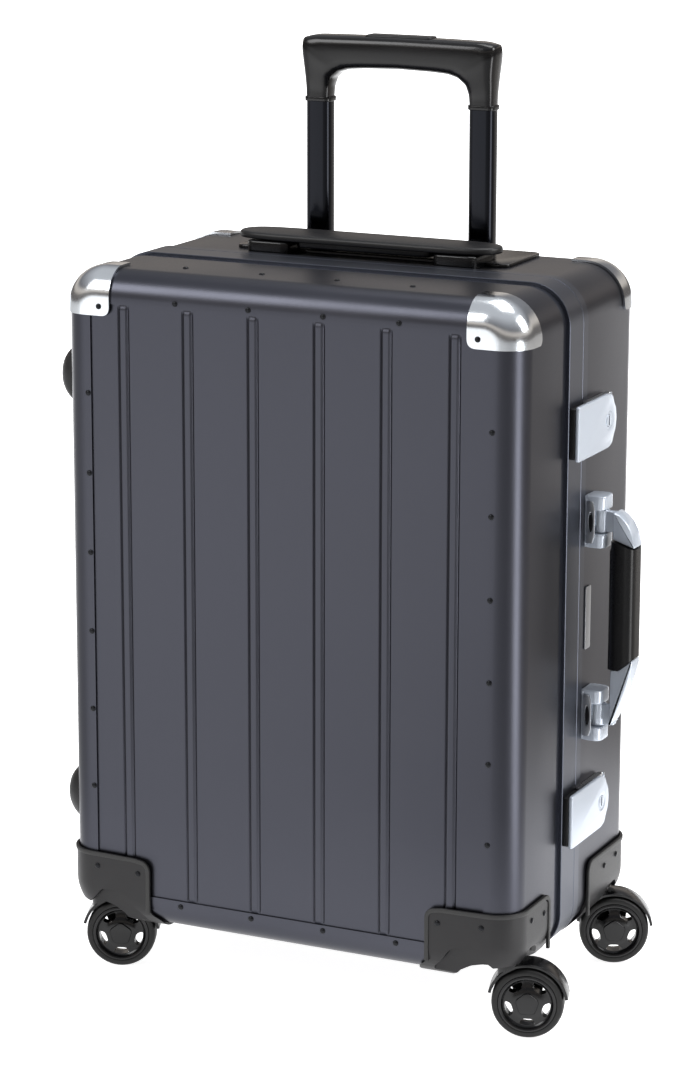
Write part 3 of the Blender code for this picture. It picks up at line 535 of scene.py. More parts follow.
for half, sy in (("front", -1), ("rear", 1)):
    for hand, sx in (("left", -1), ("right", 1)):
        node = half + "_cap_" + hand
        body = half + "_shell"
        show(node + "_pressed", corner_cap(node, sx, sy), POLISHED, body, [node], 30.0)
        rivets(node + "_rivet", body,
               [((sx * 152.0, sy * (HALF_D + CAP_OUT), 523.5), (0, sy, 0))])


# ------------------------------------------------------------ wheel housings
def housing(sx, sy):
    """Moulding over the bottom corner: skin, well block, bowl and two arches."""
    inner = 50.0 if sy < 0 else 27.0

    def whole(grow):
        """The whole shell's outside moved out by grow, both halves in one."""
        prof = [(90.0, -HALF_D - grow)] + edge_arc(-1, grow) + edge_arc(1, grow)[::-1]
        return round_shell("cutter", prof + [(90.0, HALF_D + grow)], loop=False)
    front = soften([(sx * 107.0, 30.0), (sx * 107.0, 51.0), (sx * 115.6, 56.0),
                    (sx * 115.6, 94.0), (sx * 123.0, 98.5), (sx * PAST, 100.5),
                    (sx * PAST, 30.0)], 5.0, 6)
    body = slab("cutter", front, *sorted((0.0, sy * 140.0)), "y", 0.01)
    flare = 45.0 if sy < 0 else 10.0
    flank = soften([(sy * flare, 30.0), (sy * flare, 50.0), (sy * inner, 57.0),
                    (sy * inner, 92.0), (sy * (inner + 8.0), 98.0), (sy * 140.0, 100.5),
                    (sy * 140.0, 30.0)], 5.0, 6)
    side = slab("cutter", flank, *sorted((sx * 90.0, sx * PAST)), "x", 0.01)
    body = combined(body, [side], "INTERSECT")
    body = combined(body, [whole(0.4)], "DIFFERENCE")
    cx, cy = sx * SWIVEL[0], sy * SWIVEL[1]
    well = slab("cutter", ring(cx, cy, WELL_R, 56), 36.0, 72.0, "z", 0.01)
    behind_face = block(*sorted((sx * 118.0, sx * 186.0)), *sorted((sy * 100.0, sy * 130.0)),
                        36.0, 76.0)
    behind_wall = block(*sorted((sx * 174.0, sx * 200.0)), *sorted((sy * 56.0, sy * 113.0)),
                        36.0, 76.0)
    body = combined(body, [well, behind_face, behind_wall], "UNION")
    body = combined(body, [whole(HOUSING_OUT)], "INTERSECT")
    bowl = [(0.6, 60.0), (17.0, 60.0), (24.0, 58.8), (30.0, 56.4), (36.5, 52.0), (40.5, 47.0),
            (41.7, 43.0), (41.7, 20.0), (0.6, 20.0)]
    arch = soften([(120.0, 28.0), (120.0, 52.0), (129.0, 60.5), (134.0, 68.5), (141.0, 71.5),
                   (157.0, 71.5), (160.8, 66.3), (172.0, 54.8), (172.0, 28.0)], 4.0, 6)
    arch = arch * (sx, 1.0)
    cut_front = slab("cutter", arch, *sorted((sy * 106.5, sy * 130.0)), "y", 0.01)
    arch = soften([(59.0, 28.0), (59.0, 52.0), (66.0, 60.5), (72.0, 67.0), (78.0, 69.0),
                   (86.0, 69.0), (91.0, 63.0), (101.0, 54.0), (101.0, 28.0)], 4.0, 6)
    arch = arch * (sy, 1.0)
    cut_side = slab("cutter", arch, *sorted((sx * 179.5, sx * 200.0)), "x", 0.01)
    bore = slab("cutter", ring(cx, cy, 4.3, 24), 55.0, 69.0, "z", 0.01)
    return combined(body, [turned("cutter", bowl, (cx, cy, 0.0), (0, 0, 1), 56), bore, cut_front,
                           cut_side], "DIFFERENCE")


def housing_seal(name, sx, sy):
    """Rubber strip round the housing's edge: up the face, along the top and down the wall."""
    inner = 50.0 if sy < 0 else 27.0
    face, wall = sy * (HALF_D + HOUSING_OUT), sx * (HALF_W + HOUSING_OUT)
    pts, nor = [], []
    for z in np.linspace(58.0, 91.0, 6):
        pts.append((sx * 116.4, face, z))
        nor.append((0, sy, 0))
    for a in np.linspace(0, math.pi / 2, 6)[1:]:
        pts.append((sx * (116.4 + 6.0 * (1 - math.cos(a))), face, 91.0 + 6.4 * math.sin(a)))
        nor.append((0, sy, 0))
    top, tn = rim_path(sx, sy, 128.0, 98.3, inner + 8.0)
    for p, n in zip(top, tn):
        pts.append((p[0] + n[0] * HOUSING_OUT, p[1] + n[1] * HOUSING_OUT,
                    p[2] + 0.02 * (abs(p[0]) - 128.0)))
        nor.append(n)
    z1 = pts[-1][2]
    for a in np.linspace(0, math.pi / 2, 6)[1:]:
        pts.append((wall, sy * (inner + 8.0 - 7.0 * math.sin(a)), z1 - 7.0 * (1 - math.cos(a))))
        nor.append((sx, 0, 0))
    for z in np.linspace(z1 - 7.0, 58.0, 6)[1:]:
        pts.append((wall, sy * (inner + 1.0), z))
        nor.append((sx, 0, 0))
    section = soften([(-1.6, -1.7), (0.9, -1.7), (0.9, 1.7), (-1.6, 1.7)], 0.7, 4)
    return carried(name, pts, nor, section)


for half, sy in (("front", -1), ("rear", 1)):
    for hand, sx in (("left", -1), ("right", 1)):
        node = half + "_housing_" + hand
        body = half + "_shell"
        show(node + "_moulding", housing(sx, sy), HOUSING, body, [node], 30.0)
        show(node + "_seal", housing_seal(node, sx, sy), SEAL, body)
        f = HALF_D + HOUSING_OUT
        w = HALF_W + HOUSING_OUT
        spots = [((sx * 125.0, sy * f, 88.0), (0, sy, 0)), ((sx * 160.0, sy * f, 89.5), (0, sy, 0)),
                 ((sx * w, sy * 84.0, 90.0), (sx, 0, 0)), ((sx * w, sy * 60.0, 88.0), (sx, 0, 0))]
        rivets(node + "_rivets", body, spots)


# ------------------------------------------------------------ casters
def hub_mesh():
    """Turned dish with five rounded windows and a raised five-sided centre."""
    prof = [(0.8, -9.4), (6.0, -9.4), (9.6, -9.0), (11.6, -8.2), (13.0, -7.4), (17.4, -6.8),
            (18.6, -7.6), (19.4, -9.2), (20.4, -9.6), (21.6, -9.4), (22.0, -8.8), (22.0, 8.2),
            (21.6, 8.6), (19.4, 8.6), (18.6, 7.8), (18.0, 1.2), (17.4, 0.8), (8.0, 0.8),
            (7.2, 1.2), (7.0, 8.2), (6.6, 8.6), (3.3, 8.6), (3.3, -7.5), (0.8, -7.5)]
    hub = turned("hub", prof, (0, 0, 0), (0, 1, 0), 60, loop=True, place=False)
    cutters = []
    for k in range(5):
        a = math.radians(126.0 + 72.0 * k)
        pts = soften([(11.6, -3.6), (15.9, -6.6), (17.5, 0.0), (15.9, 6.6), (11.6, 3.6)], 2.2, 5)
        turn = np.array([[math.cos(a), math.sin(a)], [-math.sin(a), math.cos(a)]])
        cutters.append(slab("cutter", pts @ turn, -12.0, 5.0, "y", 0.01, place=False))
    hub = combined(hub, [merged("cutter", cutters)], "DIFFERENCE")
    star = []
    for k in range(5):
        a = math.radians(90.0 + 72.0 * k)
        star.append((9.6 * math.cos(a), 9.6 * math.sin(a)))
    boss = slab("boss", soften(star, 3.0, 6), -10.6, -9.0, "y", 0.7, 0.1, place=False)
    return merged("hub", [hub, boss])


def tyre_mesh():
    """The tread, a rounded profile turned about the wheel's axle."""
    prof = [(22.15, -9.2), (24.6, -9.5), (25.8, -8.8), (26.6, -7.0), (26.95, -4.0), (27.0, -0.4),
            (26.95, 3.2), (26.6, 6.2), (25.8, 8.0), (24.6, 8.7), (22.15, 8.4)]
    return turned("tyre", prof, (0, 0, 0), (0, 1, 0), 72, loop=True, place=False)


def fork_mesh():
    """Hood arched over the wheel's rear, one side arm, the swivel boss and the axle."""
    a = np.radians(np.linspace(8.0, 166.0, 34))
    outer = np.stack([TRAIL + 30.2 * np.cos(a), 27.0 + 30.2 * np.sin(a)], -1)
    inner = np.stack([TRAIL + 28.0 * np.cos(a[::-1]), 27.0 + 28.0 * np.sin(a[::-1])], -1)
    hood = slab("fork", np.concatenate([outer, inner]), -8.0, 12.6, "y", 0.4, place=False)
    arm = soften([(6.0, 20.0), (22.0, 20.0), (27.0, 52.0), (19.0, 56.0), (5.0, 56.0),
                  (-5.0, 49.0)], 5.0, 6)
    arm = slab("arm", arm, 9.6, 12.8, "y", 0.6, place=False)
    boss = slab("boss", ring(0, 0, 9.0, 36), 44.0, 59.7, "z", 0.8, place=False)
    boss = combined(boss, [slab("cutter", ring(TRAIL, 27.0, 28.0, 60), -20, 20, "y", 0.01,
                                place=False)], "DIFFERENCE")
    pin = slab("pin", ring(0, 0, 4.0, 28), 58.0, 68.4, "z", 0.4, place=False)
    axle = slab("axle", ring(TRAIL, 27.0, 3.0, 28), -7.2, 11.0, "y", 0.3, place=False)
    return combined(hood, [arm, boss, pin, axle], "UNION")


HUB, WHEEL_TREAD, FORK = hub_mesh(), tyre_mesh(), fork_mesh()
for where, turn in CASTER_TURN.items():
    sx = -1 if "left" in where else 1
    sy = -1 if "front" in where else 1
    foot = Matrix.Translation(((sx * SWIVEL[0] + SHIFT) * 0.001, sy * SWIVEL[1] * 0.001, 0.0))
    spin = foot @ Matrix.Rotation(math.radians(turn), 4, "Z")
    wheel = spin @ Matrix.Translation((TRAIL * 0.001, 0.0, 0.027))
    show(where + "_hood", moved(FORK, spin), BLACK, where + "_caster", [where + "_fork"], 30.0)
    show(where + "_rim", moved(HUB, wheel), BLACK, where + "_wheel", [where + "_hub"], 30.0)
    show(where + "_tread", moved(WHEEL_TREAD, wheel), TYRE, where + "_wheel", [where + "_tyre"])


# ------------------------------------------------------------ latches
def latch(where):
    """The lever plate on its pivot pin, the key plug sunk in a dimple, and the catch block."""
    zc = LATCH_Z[where]
    plate = soften([(-26.0, zc - 20.5), (34.0, zc - 20.5), (41.0, zc - 18.0),
                    (43.8, zc - 12.0), (47.0, zc - 9.0), (49.0, zc), (47.0, zc + 9.0),
                    (43.8, zc + 12.0), (41.0, zc + 18.0), (34.0, zc + 20.5),
                    (-26.0, zc + 20.5)], 3.0, 6)
    lever = slab(where, plate, 191.5, 194.3, "x", 0.5, 1.1)
    dimple = [(0.5, 197.5), (7.6, 197.5), (7.4, 194.25), (6.8, 193.9), (5.6, 193.75),
              (0.5, 193.7)]
    lever = combined(lever, [turned("cutter", dimple, (0, 34.0, zc), (1, 0, 0), 40),
                             slab("cutter", ring(34.0, zc, 4.8, 36), 185.0, 200.0, "x", 0.01)],
                     "DIFFERENCE")
    knuckle = slab("k", ring(190.6, 45.0, 2.4, 24), zc - 11.6, zc + 11.6, "z", 0.3)
    pin = slab("p", ring(190.6, 45.0, 1.2, 20), zc - 17.5, zc + 17.5, "z", 0.2)
    lever = combined(lever, [knuckle, pin], "UNION")
    show(where + "_lever_plate", lever, PLATE, where + "_lever", [where + "_latch_lever"], 30.0)
    plug = slab(where, ring(34.0, zc, 4.5, 40), 189.4, 194.2, "x", 0.4)
    slot = block(193.0, 196.0, 32.9, 35.1, zc - 3.5, zc + 3.5)
    plug = combined(plug, [slot], "DIFFERENCE")
    show(where + "_key_plug", plug, PLATE, where + "_key", [where + "_latch_key"], 30.0)
    # Painted shade: a black block in the floor of the shallow key slot stands in for the dark depth
    # of a keyway.
    dark = block(192.6, 193.5, 32.95, 35.05, zc - 3.4, zc + 3.4)
    show(where + "_key_slot_shade", dark, BLACK, where + "_key")
    side = soften([(-25.8, zc - 19.0), (-2.0, zc - 19.0), (-2.0, zc + 19.0),
                   (-25.8, zc + 19.0)], 2.0, 4)
    catch = slab(where, side, 186.6, 191.1, "x", 0.3, 0.6)
    show(where + "_catch_block", catch, MATT, "front_shell", [where + "_latch_catch"])
    nodes[where + "_latch_base"].data.materials.clear()
    nodes[where + "_latch_base"].data.materials.append(SATIN)


for place in LATCH_Z:
    latch(place)


# ------------------------------------------------------------ side handle
def bracket(name, zc):
    """Base plate, two rounded cheeks and the pin; and the shield, with its eye, in front."""
    ax, ay = BAIL
    base = slab(name, soften([(9.3, zc - 19.5), (29.7, zc - 19.5), (29.7, zc + 19.5),
                              (9.3, zc + 19.5)], 2.0, 5), 185.35, 187.4, "x", 0.3)
    cheek = soften([(186.0, 9.3), (198.0, 9.3), (201.4, 12.7), (201.4, 26.3), (198.0, 29.7),
                    (186.0, 29.7)], 2.4, 5)
    parts = [slab("c", cheek, zc + 9.1, zc + 19.5, "z", 0.9),
             slab("c", cheek, zc - 19.5, zc - 9.1, "z", 0.9),
             slab("p", ring(ax, ay, 2.4, 24), zc - 12.0, zc + 12.0, "z", 0.2)]
    front = soften([(187.4, zc - 16.0), (192.4, zc - 16.0), (194.2, zc - 10.0),
                    (194.2, zc + 10.0), (192.4, zc + 16.0), (187.4, zc + 16.0)], 1.4, 5)
    shield = slab("shield", front, 8.0, 9.25, "y", 0.4)
    body = combined(base, parts, "UNION")
    eye = np.stack([190.8 + 2.1 * np.cos(np.linspace(0, 2 * math.pi, 40, endpoint=False)),
                    zc + 8.2 * np.sin(np.linspace(0, 2 * math.pi, 40, endpoint=False))], -1)
    shield = combined(shield, [slab("cutter", eye, 4.0, 12.6, "y", 0.01)], "DIFFERENCE")
    return combined(body, [slab("cutter", eye, 4.0, 10.6, "y", 0.01)], "DIFFERENCE"), shield


def bail():
    """Two horn-shaped arms, each a flat outline in x and z with rounded rims on a round
    knuckle between the bracket's cheeks, and the bar inside the cover that joins them."""
    ax, ay = BAIL
    meshes = []
    upper = [(207.2, 378.6), (213.0, 376.0), (218.5, 370.6), (222.4, 363.0),
             (224.6, 354.6), (224.6, 352.4), (207.2, 357.8)]
    lower = [(207.2, 214.4), (212.0, 224.0), (217.0, 237.0), (221.5, 251.0),
             (224.6, 263.6), (224.6, 268.0), (214.0, 258.9), (207.2, 258.6)]
    for outline, zc in ((upper, BRACKET_Z[0]), (lower, BRACKET_Z[1])):
        root = [(196.0, zc - 7.6), (209.0, zc - 7.6), (209.0, zc + 7.6), (196.0, zc + 7.6)]
        meshes += [slab("horn", soften(outline, 2.0, 6), ay - 8.0, ay + 8.0, "y", 1.2),
                   slab("root", soften(root, 1.2, 4), ay - 3.2, ay + 3.2, "y", 0.6),
                   slab("k", ring(ax, ay, 5.9, 32), zc - 8.4, zc + 8.4, "z", 0.5)]
    bar = slab("bar", soften([(214.0, ay - 3.0), (220.0, ay - 3.0), (220.0, ay + 3.0),
                              (214.0, ay + 3.0)], 0.5), 262.0, 354.0, "z", 0.01)
    return merged("arms", [bar] + meshes)


for label, zc in (("upper", BRACKET_Z[0]), ("lower", BRACKET_Z[1])):
    body, shield = bracket(label, zc)
    show("handle_bracket_" + label, body, PLATE, "rear_shell", ["side_bracket_" + label], 30.0)
    show("handle_shield_" + label, shield, STEEL, "rear_shell")
    a = np.linspace(0, 2 * math.pi, 40, endpoint=False)
    eye = np.stack([190.8 + 1.8 * np.cos(a), zc + 7.4 * np.sin(a)], -1)
    show("handle_eye_" + label, slab("eye", eye, 8.9, 10.5, "y", 0.2), BLACK, "rear_shell")
show("handle_arms", bail(), PLATE, "side_handle", ["side_handle_bail"], 30.0)
grip = slab("grip", soften([(204.4, BAIL[1] - 11.0), (225.0, BAIL[1] - 11.0),
                            (225.0, BAIL[1] + 11.0), (204.4, BAIL[1] + 11.0)], 7.6, 14),
            256.0, 362.0, "z", 0.3)
above = [(200.0, 350.0), (206.9, 350.0), (206.9, 357.2), (228.0, 350.7), (228.0, 380.0),
         (200.0, 380.0)]
below = [(200.0, 200.0), (228.0, 200.0), (228.0, 271.0), (214.2, 259.4), (200.0, 259.2)]
grip = combined(grip, [slab("end", np.array(above), -5.0, 45.0, "y", 0.01),
                       slab("end", np.array(below), -5.0, 45.0, "y", 0.01)], "DIFFERENCE")
show("handle_cover", grip, COVER, "side_handle", ["side_handle_grip"])
strip = slab("strip", soften([(13.5, 271.0), (23.5, 271.0), (23.5, 319.0), (13.5, 319.0)], 1.5, 4),
             185.1, 186.4, "x", 0.3)
show("handle_wear_plate", strip, STEEL, "rear_shell")


# ------------------------------------------------------------ top handle
bar = [(-70, 11.7), (70, 11.7), (94, 14.0), (105, 21.0), (108, 31.0), (105, 41.0), (94, 48.0),
       (70, 50.3), (-70, 50.3), (-94, 48.0), (-105, 41.0), (-108, 31.0), (-105, 21.0), (-94, 14.0)]
show("carry_bar", slab("bar", soften(bar, 9.0, 7), 560.2, 565.4, "z", 1.2, 2.2), MATT,
     "top_handle", ["top_handle_bar"])
pad = slab("pad", round_rect(-56.5, 56.5, 17.0, 45.0, 6.0), 555.2, 560.4, "z", 1.6, 0.2)
posts = [slab("post", ring(s * 77.0, 31.0, 3.5, 28), 528.0, 560.6, "z", 0.3) for s in (-1, 1)]
posts += [slab("stop", ring(s * 77.0, 31.0, 6.0, 28), 527.0, 530.0, "z", 0.3) for s in (-1, 1)]
show("carry_bar_pad", pad, COVER, "top_handle")
show("carry_bar_posts", merged("posts", posts), STEEL, "top_handle")
for hand, s in (("left", -1), ("right", 1)):
    x0, x1 = sorted((s * 59.5, s * 94.5))
    mount = slab("mount", round_rect(x0, x1, 10.6, 50.0, 6.0), 550.2, 559.4, "z", 0.3, 1.2)
    mount = combined(mount, [slab("cutter", ring(s * 77.0, 31.0, 3.9, 28), 540, 570, "z", 0.01)],
                     "DIFFERENCE")
    show("carry_mount_" + hand, mount, BLACK, "rear_shell", ["top_mount_" + hand])


# ------------------------------------------------------------ trolley
def hollow_tube(name, x, hx, hy, wall, z0, z1):
    """Rounded rectangular tube: the outline up, over the wall and down the inside."""
    out = round_rect(x - hx, x + hx, TUBE_Y - hy, TUBE_Y + hy, 5.6)
    stations = [(0.0, z0), (0.0, z1 - 0.3), (0.3, z1), (wall, z1), (wall, z0)]
    return stacked(name, out, stations, "z", loop=True)


for hand, s in (("left", -1), ("right", 1)):
    x = s * TUBE_X
    collar = slab("collar", round_rect(x - 10.9, x + 10.9, TUBE_Y - 8.2, TUBE_Y + 8.2, 4.4),
                  658.8, 662.3, "z", 0.5)
    show("trolley_collar_" + hand, collar, BLACK, "trolley_top")
    show("trolley_upper_tube_" + hand, hollow_tube("t", x, 10.3, 7.6, 1.1, 232.0, 662.0), TUBE,
         "trolley_top", ["trolley_inner_" + hand])
    show("trolley_middle_tube_" + hand, hollow_tube("t", x, 11.9, 9.1, 1.1, 112.0, 553.2), TUBE,
         "trolley_mid", ["trolley_mid_" + hand])
    show("trolley_guide_tube_" + hand, hollow_tube("t", x, 13.5, 10.6, 1.1, 58.0, 549.8), TUBE,
         "rear_shell", ["trolley_outer_" + hand])
plate = slab("plate", round_rect(-113.0, 113.0, 30.0, 97.0, 7.0), 550.2, 552.5, "z", 0.2, 0.9)
cutters = []
for s in (-1, 1):
    x0, x1 = sorted((s * 59.1, s * 94.9))
    cutters.append(block(x0, x1, 10.0, 50.4, 540.0, 560.0))
    cutters.append(slab("cutter", round_rect(s * TUBE_X - 12.3, s * TUBE_X + 12.3, TUBE_Y - 9.5,
                                         TUBE_Y + 9.5, 4.4), 540.0, 560.0, "z", 0.01))
show("trolley_top_plate", combined(plate, cutters, "DIFFERENCE"), BLACK, "rear_shell",
     ["trolley_plate"], 30.0)


def pull_grip():
    """A bent bar: at each t its section spans from the inner curve to the outer curve in x
    and z, deepens in y towards the top, and is a rounded square raised to a soft power."""
    outer = np.array([(77.8, 662.4), (78.0, 670.0), (79.0, 684.0), (80.8, 700.0),
                      (79.8, 707.4), (70.0, 709.6), (38.0, 710.1), (0.0, 710.4)])
    inner = np.array([(58.2, 662.4), (57.6, 670.0), (55.4, 677.0), (49.0, 682.0),
                      (41.0, 684.2), (27.0, 685.2), (0.0, 686.0)])
    t = np.linspace(0.0, 1.0, 70)
    at_outer = (0.0, 0.1, 0.27, 0.43, 0.54, 0.66, 0.84, 1.0)
    at_inner = (0.0, 0.14, 0.28, 0.42, 0.56, 0.74, 1.0)

    def smooth(ts, pts):
        """Points read off at t, then averaged with their neighbours four times."""
        line = np.stack([np.interp(t, ts, pts[:, k]) for k in (0, 1)], -1)
        for _ in range(4):
            line[1:-1] = 0.25 * line[:-2] + 0.5 * line[1:-1] + 0.25 * line[2:]
        return line
    o, i = smooth(at_outer, outer), smooth(at_inner, inner)
    mirror = np.array((-1.0, 1.0))
    o = np.concatenate([o, o[-2::-1] * mirror])
    i = np.concatenate([i, i[-2::-1] * mirror])
    grow = np.clip((np.concatenate([t, t[-2::-1]]) - 0.05) / 0.4, 0.0, 1.0)
    deep = 8.6 + 3.7 * grow * grow * (3 - 2 * grow)
    a = np.linspace(0, 2 * math.pi, 40, endpoint=False)
    u = np.sign(np.cos(a)) * np.abs(np.cos(a)) ** 0.5
    v = np.sign(np.sin(a)) * np.abs(np.sin(a)) ** 0.5
    mid, arm = 0.5 * (o + i), 0.5 * (o - i)
    x = mid[:, 0, None] + arm[:, 0, None] * u
    z = mid[:, 1, None] + arm[:, 1, None] * u
    y = TUBE_Y + deep[:, None] * v
    rings = np.stack([x, y, z], -1)
    k, n = rings.shape[:2]
    faces = grid_faces(k, n, False, True) + [list(range(n)), [(k - 1) * n + j for j in range(n)]]
    return raw_mesh("grip", rings, faces)


grip = pull_grip()
button_hole = block(-27.4, 27.4, TUBE_Y - 7.4, TUBE_Y + 7.4, 700.0, 720.0)
show("trolley_handle", combined(grip, [button_hole], "DIFFERENCE"), BLACK, "trolley_top",
     ["trolley_grip"], 30.0)
press = slab("press", round_rect(-27.0, 27.0, TUBE_Y - 7.0, TUBE_Y + 7.0, 3.0), 704.6, 711.4,
             "z", 0.3, 1.2)
show("trolley_release", press, MATT, "release_button", ["trolley_button"])


# ------------------------------------------------------------ side feet
for half, y in FOOT_Y.items():
    for label, z in FOOT_Z.items():
        a = np.linspace(0, 2 * math.pi, 48, endpoint=False)
        oval = np.stack([y + 15.0 * np.cos(a), z + 23.0 * np.sin(a)], -1)
        prof = [(185.1, 1.0), (187.0, 0.995), (189.0, 0.965), (191.5, 0.9), (194.0, 0.81),
                (196.2, 0.70), (198.0, 0.58), (199.0, 0.47), (199.2, 0.42)]
        rings = []
        for out, k in prof:
            flat = np.stack([y + (oval[:, 0] - y) * k, z + (oval[:, 1] - z) * k], -1)
            rings.append(lay(flat, -out, "x"))
        rings = np.array(rings)
        k, n = rings.shape[:2]
        faces = grid_faces(k, n, False, True)
        faces += [list(range(n)), [(k - 1) * n + i for i in range(n)]]
        show(half + "_stud_" + label, raw_mesh("stud", rings, faces), MATT, half + "_shell",
             [half + "_foot_" + label])


# ------------------------------------------------------------ hinge and linings
for half in ("front", "rear"):
    leaf = nodes["hinge_leaf_" + half]
    leaf.data.materials.clear()
    leaf.data.materials.append(STEEL)


def tub(name, far, rim, side):
    """Cloth-covered tray: a flat floor, a curved edge and four walls up to the rim."""
    a = np.linspace(0, math.pi / 2, 8)
    outer = [(40.0, far)]
    outer += [(24.0 - 14.0 * math.sin(t), far - side * 14.0 * (1 - math.cos(t))) for t in a]
    outer += [(9.4, rim + side * 3.0), (8.6, rim)]
    ring_of = []
    for inset, y in outer:
        lower = 20.0 if abs(y - rim) > 8.0 else 20.0 * (abs(y - rim) / 8.0)
        ring_of.append((inset, y, lower))
    back = [(i + 1.2, y - side * 1.2, l) for i, y, l in reversed(ring_of)]
    back[-1] = (back[-1][0], far - side * 1.3, back[-1][2])
    return round_shell(name, ring_of + back, loop=False)


for half, far, rim, flat in (("front", -108.0, -11.5, (0.54, 0.655)),
                             ("rear", 72.5, 11.5, (0.47, 0.6))):
    side = -1 if half == "front" else 1
    cloth = show(half + "_lining_cloth", tub("t", far, rim, side), CLOTH, half + "_shell",
                 [half + "_lining"])
zipped = round_shell("z", [(60.0, -10.4), (12.6, -10.3), (11.7, -9.4), (11.5, -8.6),
                           (11.7, -7.8), (12.6, -6.9), (60.0, -6.8)], loop=False)
zipped = show("divider_cloth", zipped, CLOTH, "front_shell", ["divider"])


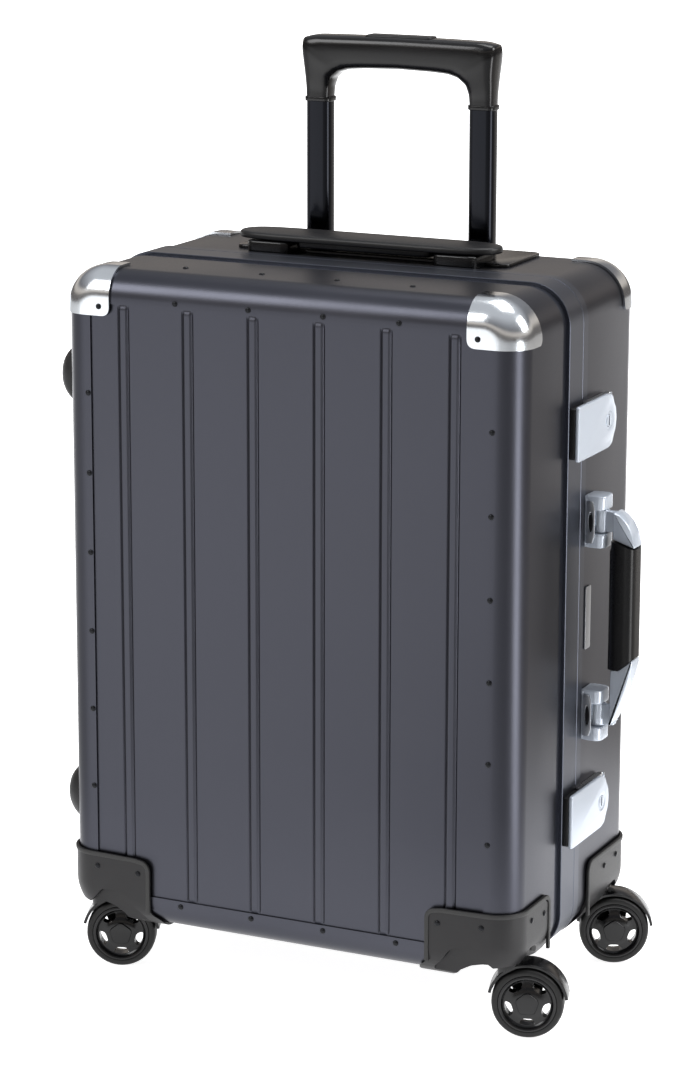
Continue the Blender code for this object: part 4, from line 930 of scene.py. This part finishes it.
# ------------------------------------------------------------ floor, light, camera
def studio():
    """Floor that glows by its own emission, painted pale grey near the case and, further out, with
    darker sectors that the shell's walls mirror as painted shade, a bright strip that the corners
    and tubes mirror as a painted highlight, and a warm tint in the sectors the side walls mirror.
    """
    mesh = bpy.data.meshes.new("floor")
    s = 12.0
    mesh.from_pydata([(-s, -s, 0), (s, -s, 0), (s, s, 0), (-s, s, 0)], [], [(0, 1, 2, 3)])
    floor = bpy.data.objects.new("floor", mesh)
    bpy.context.scene.collection.objects.link(floor)
    mat = bpy.data.materials.new("glowing_floor_painted_bands")
    mat.use_nodes = True
    tree = mat.node_tree
    shader = tree.nodes["Principled BSDF"]
    where = add(tree, "ShaderNodeTexCoord")
    flat = add(tree, "ShaderNodeMapping", {"Scale": (1.0, 1.0, 0.0), 1: (0.0, -0.1, 0.0)},
               Vector=where.outputs["Object"])
    split = add(tree, "ShaderNodeSeparateXYZ", Vector=flat.outputs[0])
    turn = add(tree, "ShaderNodeMath", {"operation": "ARCTAN2"}, i0=split.outputs[1],
               i1=split.outputs[0])
    part = add(tree, "ShaderNodeMapRange", {"From Min": -math.pi, "From Max": math.pi},
               Value=turn.outputs[0])
    painted_bands = add(tree, "ShaderNodeValToRGB", Fac=part.outputs[0])
    # Painted light in the floor's glow, given as (place round the case, level): the low levels are
    # painted shade for the walls to mirror, and the strip at 0.438 to 0.462 is a painted highlight.
    stops = ((0.0, 0.09), (0.1, 0.1), (0.15, 0.2), (0.2, 0.18), (0.26, 0.08), (0.36, 0.06),
             (0.41, 0.085), (0.438, 0.95), (0.462, 0.95), (0.49, 0.085), (0.54, 0.06),
             (0.68, 0.055), (0.735, 0.25), (0.93, 0.25), (0.97, 0.1), (1.0, 0.09))
    painted_bands.color_ramp.interpolation = "EASE"
    while len(painted_bands.color_ramp.elements) < len(stops):
        painted_bands.color_ramp.elements.new(0.5)
    for element, (at, level) in zip(painted_bands.color_ramp.elements, stops):
        # Warm tint painted into the sectors that the side walls mirror.
        warm = 0.06 if 0.5 < at < 0.72 else 0.0
        element.position = at
        element.color = (level * (1.0 + warm), level, level * (1.0 - warm), 1.0)
    reach = add(tree, "ShaderNodeVectorMath", {"operation": "LENGTH"}, i0=flat.outputs[0])
    fade = add(tree, "ShaderNodeMapRange", {"From Min": 0.42, "From Max": 0.72,
                                            "interpolation_type": "SMOOTHSTEP"},
               Value=reach.outputs["Value"])
    shade = add(tree, "ShaderNodeMix", {"data_type": "RGBA"}, i0=fade.outputs[0],
                i7=painted_bands.outputs[0])
    shade.inputs[6].default_value = (0.25, 0.25, 0.25, 1.0)
    tint = add(tree, "ShaderNodeMix", {"data_type": "RGBA", "blend_type": "MULTIPLY",
                                       "clamp_result": True}, i7=shade.outputs[2])
    tint.inputs[0].default_value = 1.0
    tint.inputs[6].default_value = (3.4, 3.4, 3.4, 1.0)
    tree.links.new(tint.outputs[2], shader.inputs["Base Color"])
    tree.links.new(shade.outputs[2], shader.inputs["Emission Color"])
    glow = add(tree, "ShaderNodeMapRange", {"From Min": 0.6, "From Max": 2.2, "To Min": 3.6,
                                            "To Max": 7.0}, Value=reach.outputs["Value"])
    tree.links.new(glow.outputs[0], shader.inputs["Emission Strength"])
    shader.inputs["Roughness"].default_value = 0.9
    mesh.materials.append(mat)

    world = bpy.data.worlds.new("soft_room")
    bpy.context.scene.world = world
    world.use_nodes = True
    tree = world.node_tree
    back = tree.nodes["Background"]
    where = add(tree, "ShaderNodeTexCoord")
    split = add(tree, "ShaderNodeSeparateXYZ", Vector=where.outputs["Generated"])
    ramp = add(tree, "ShaderNodeValToRGB", Fac=split.outputs[2])
    sky = ((0.0, (0.22, 0.2, 0.19)), (0.12, (0.22, 0.2, 0.19)), (0.19, (1.0, 0.9, 0.8)),
           (0.27, (1.0, 0.92, 0.84)), (0.36, (0.22, 0.22, 0.24)), (0.8, (0.9, 0.92, 0.96)))
    while len(ramp.color_ramp.elements) < len(sky):
        ramp.color_ramp.elements.new(0.5)
    for element, (at, colour) in zip(ramp.color_ramp.elements, sky):
        element.position = at
        element.color = (*colour, 1.0)
    tree.links.new(ramp.outputs[0], back.inputs["Color"])
    back.inputs["Strength"].default_value = 0.8

    def lamp(name, where, target, width, height, power):
        """A rectangular soft lamp that faces the target."""
        data = bpy.data.lights.new(name, "AREA")
        data.shape = "RECTANGLE"
        data.size, data.size_y = width, height
        data.energy = power
        obj = bpy.data.objects.new(name, data)
        obj.location = where
        obj.rotation_euler = (Vector(target) - Vector(where)).to_track_quat("-Z", "Y").to_euler()
        bpy.context.scene.collection.objects.link(obj)
    lamp("key", (-1.6, -2.2, 2.2), (0, 0, 0.35), 1.4, 1.4, 45.0)
    lamp("top", (0.3, 0.4, 2.6), (0, 0, 0.4), 1.6, 1.2, 30.0)
    lamp("right", (2.3, 0.5, 1.9), (0.2, 0, 0.35), 1.2, 1.2, 45.0)

    bpy.context.scene.view_settings.view_transform = "Standard"
    data = bpy.data.cameras.new("camera")
    camera = bpy.data.objects.new("camera", data)
    bpy.context.scene.collection.objects.link(camera)
    bpy.context.scene.camera = camera
    data.sensor_fit = "VERTICAL"
    data.sensor_height = 36.0
    data.lens = 116.4
    camera.location = (1.0969, -2.3210, 0.9641)
    turn = (Euler((math.radians(90.0 - 13.676), 0.0, math.radians(25.571)), "XYZ").to_matrix()
            @ Matrix.Rotation(math.radians(0.13), 3, "Z"))
    camera.rotation_euler = turn.to_euler()
    data.clip_end = 50.0


studio()
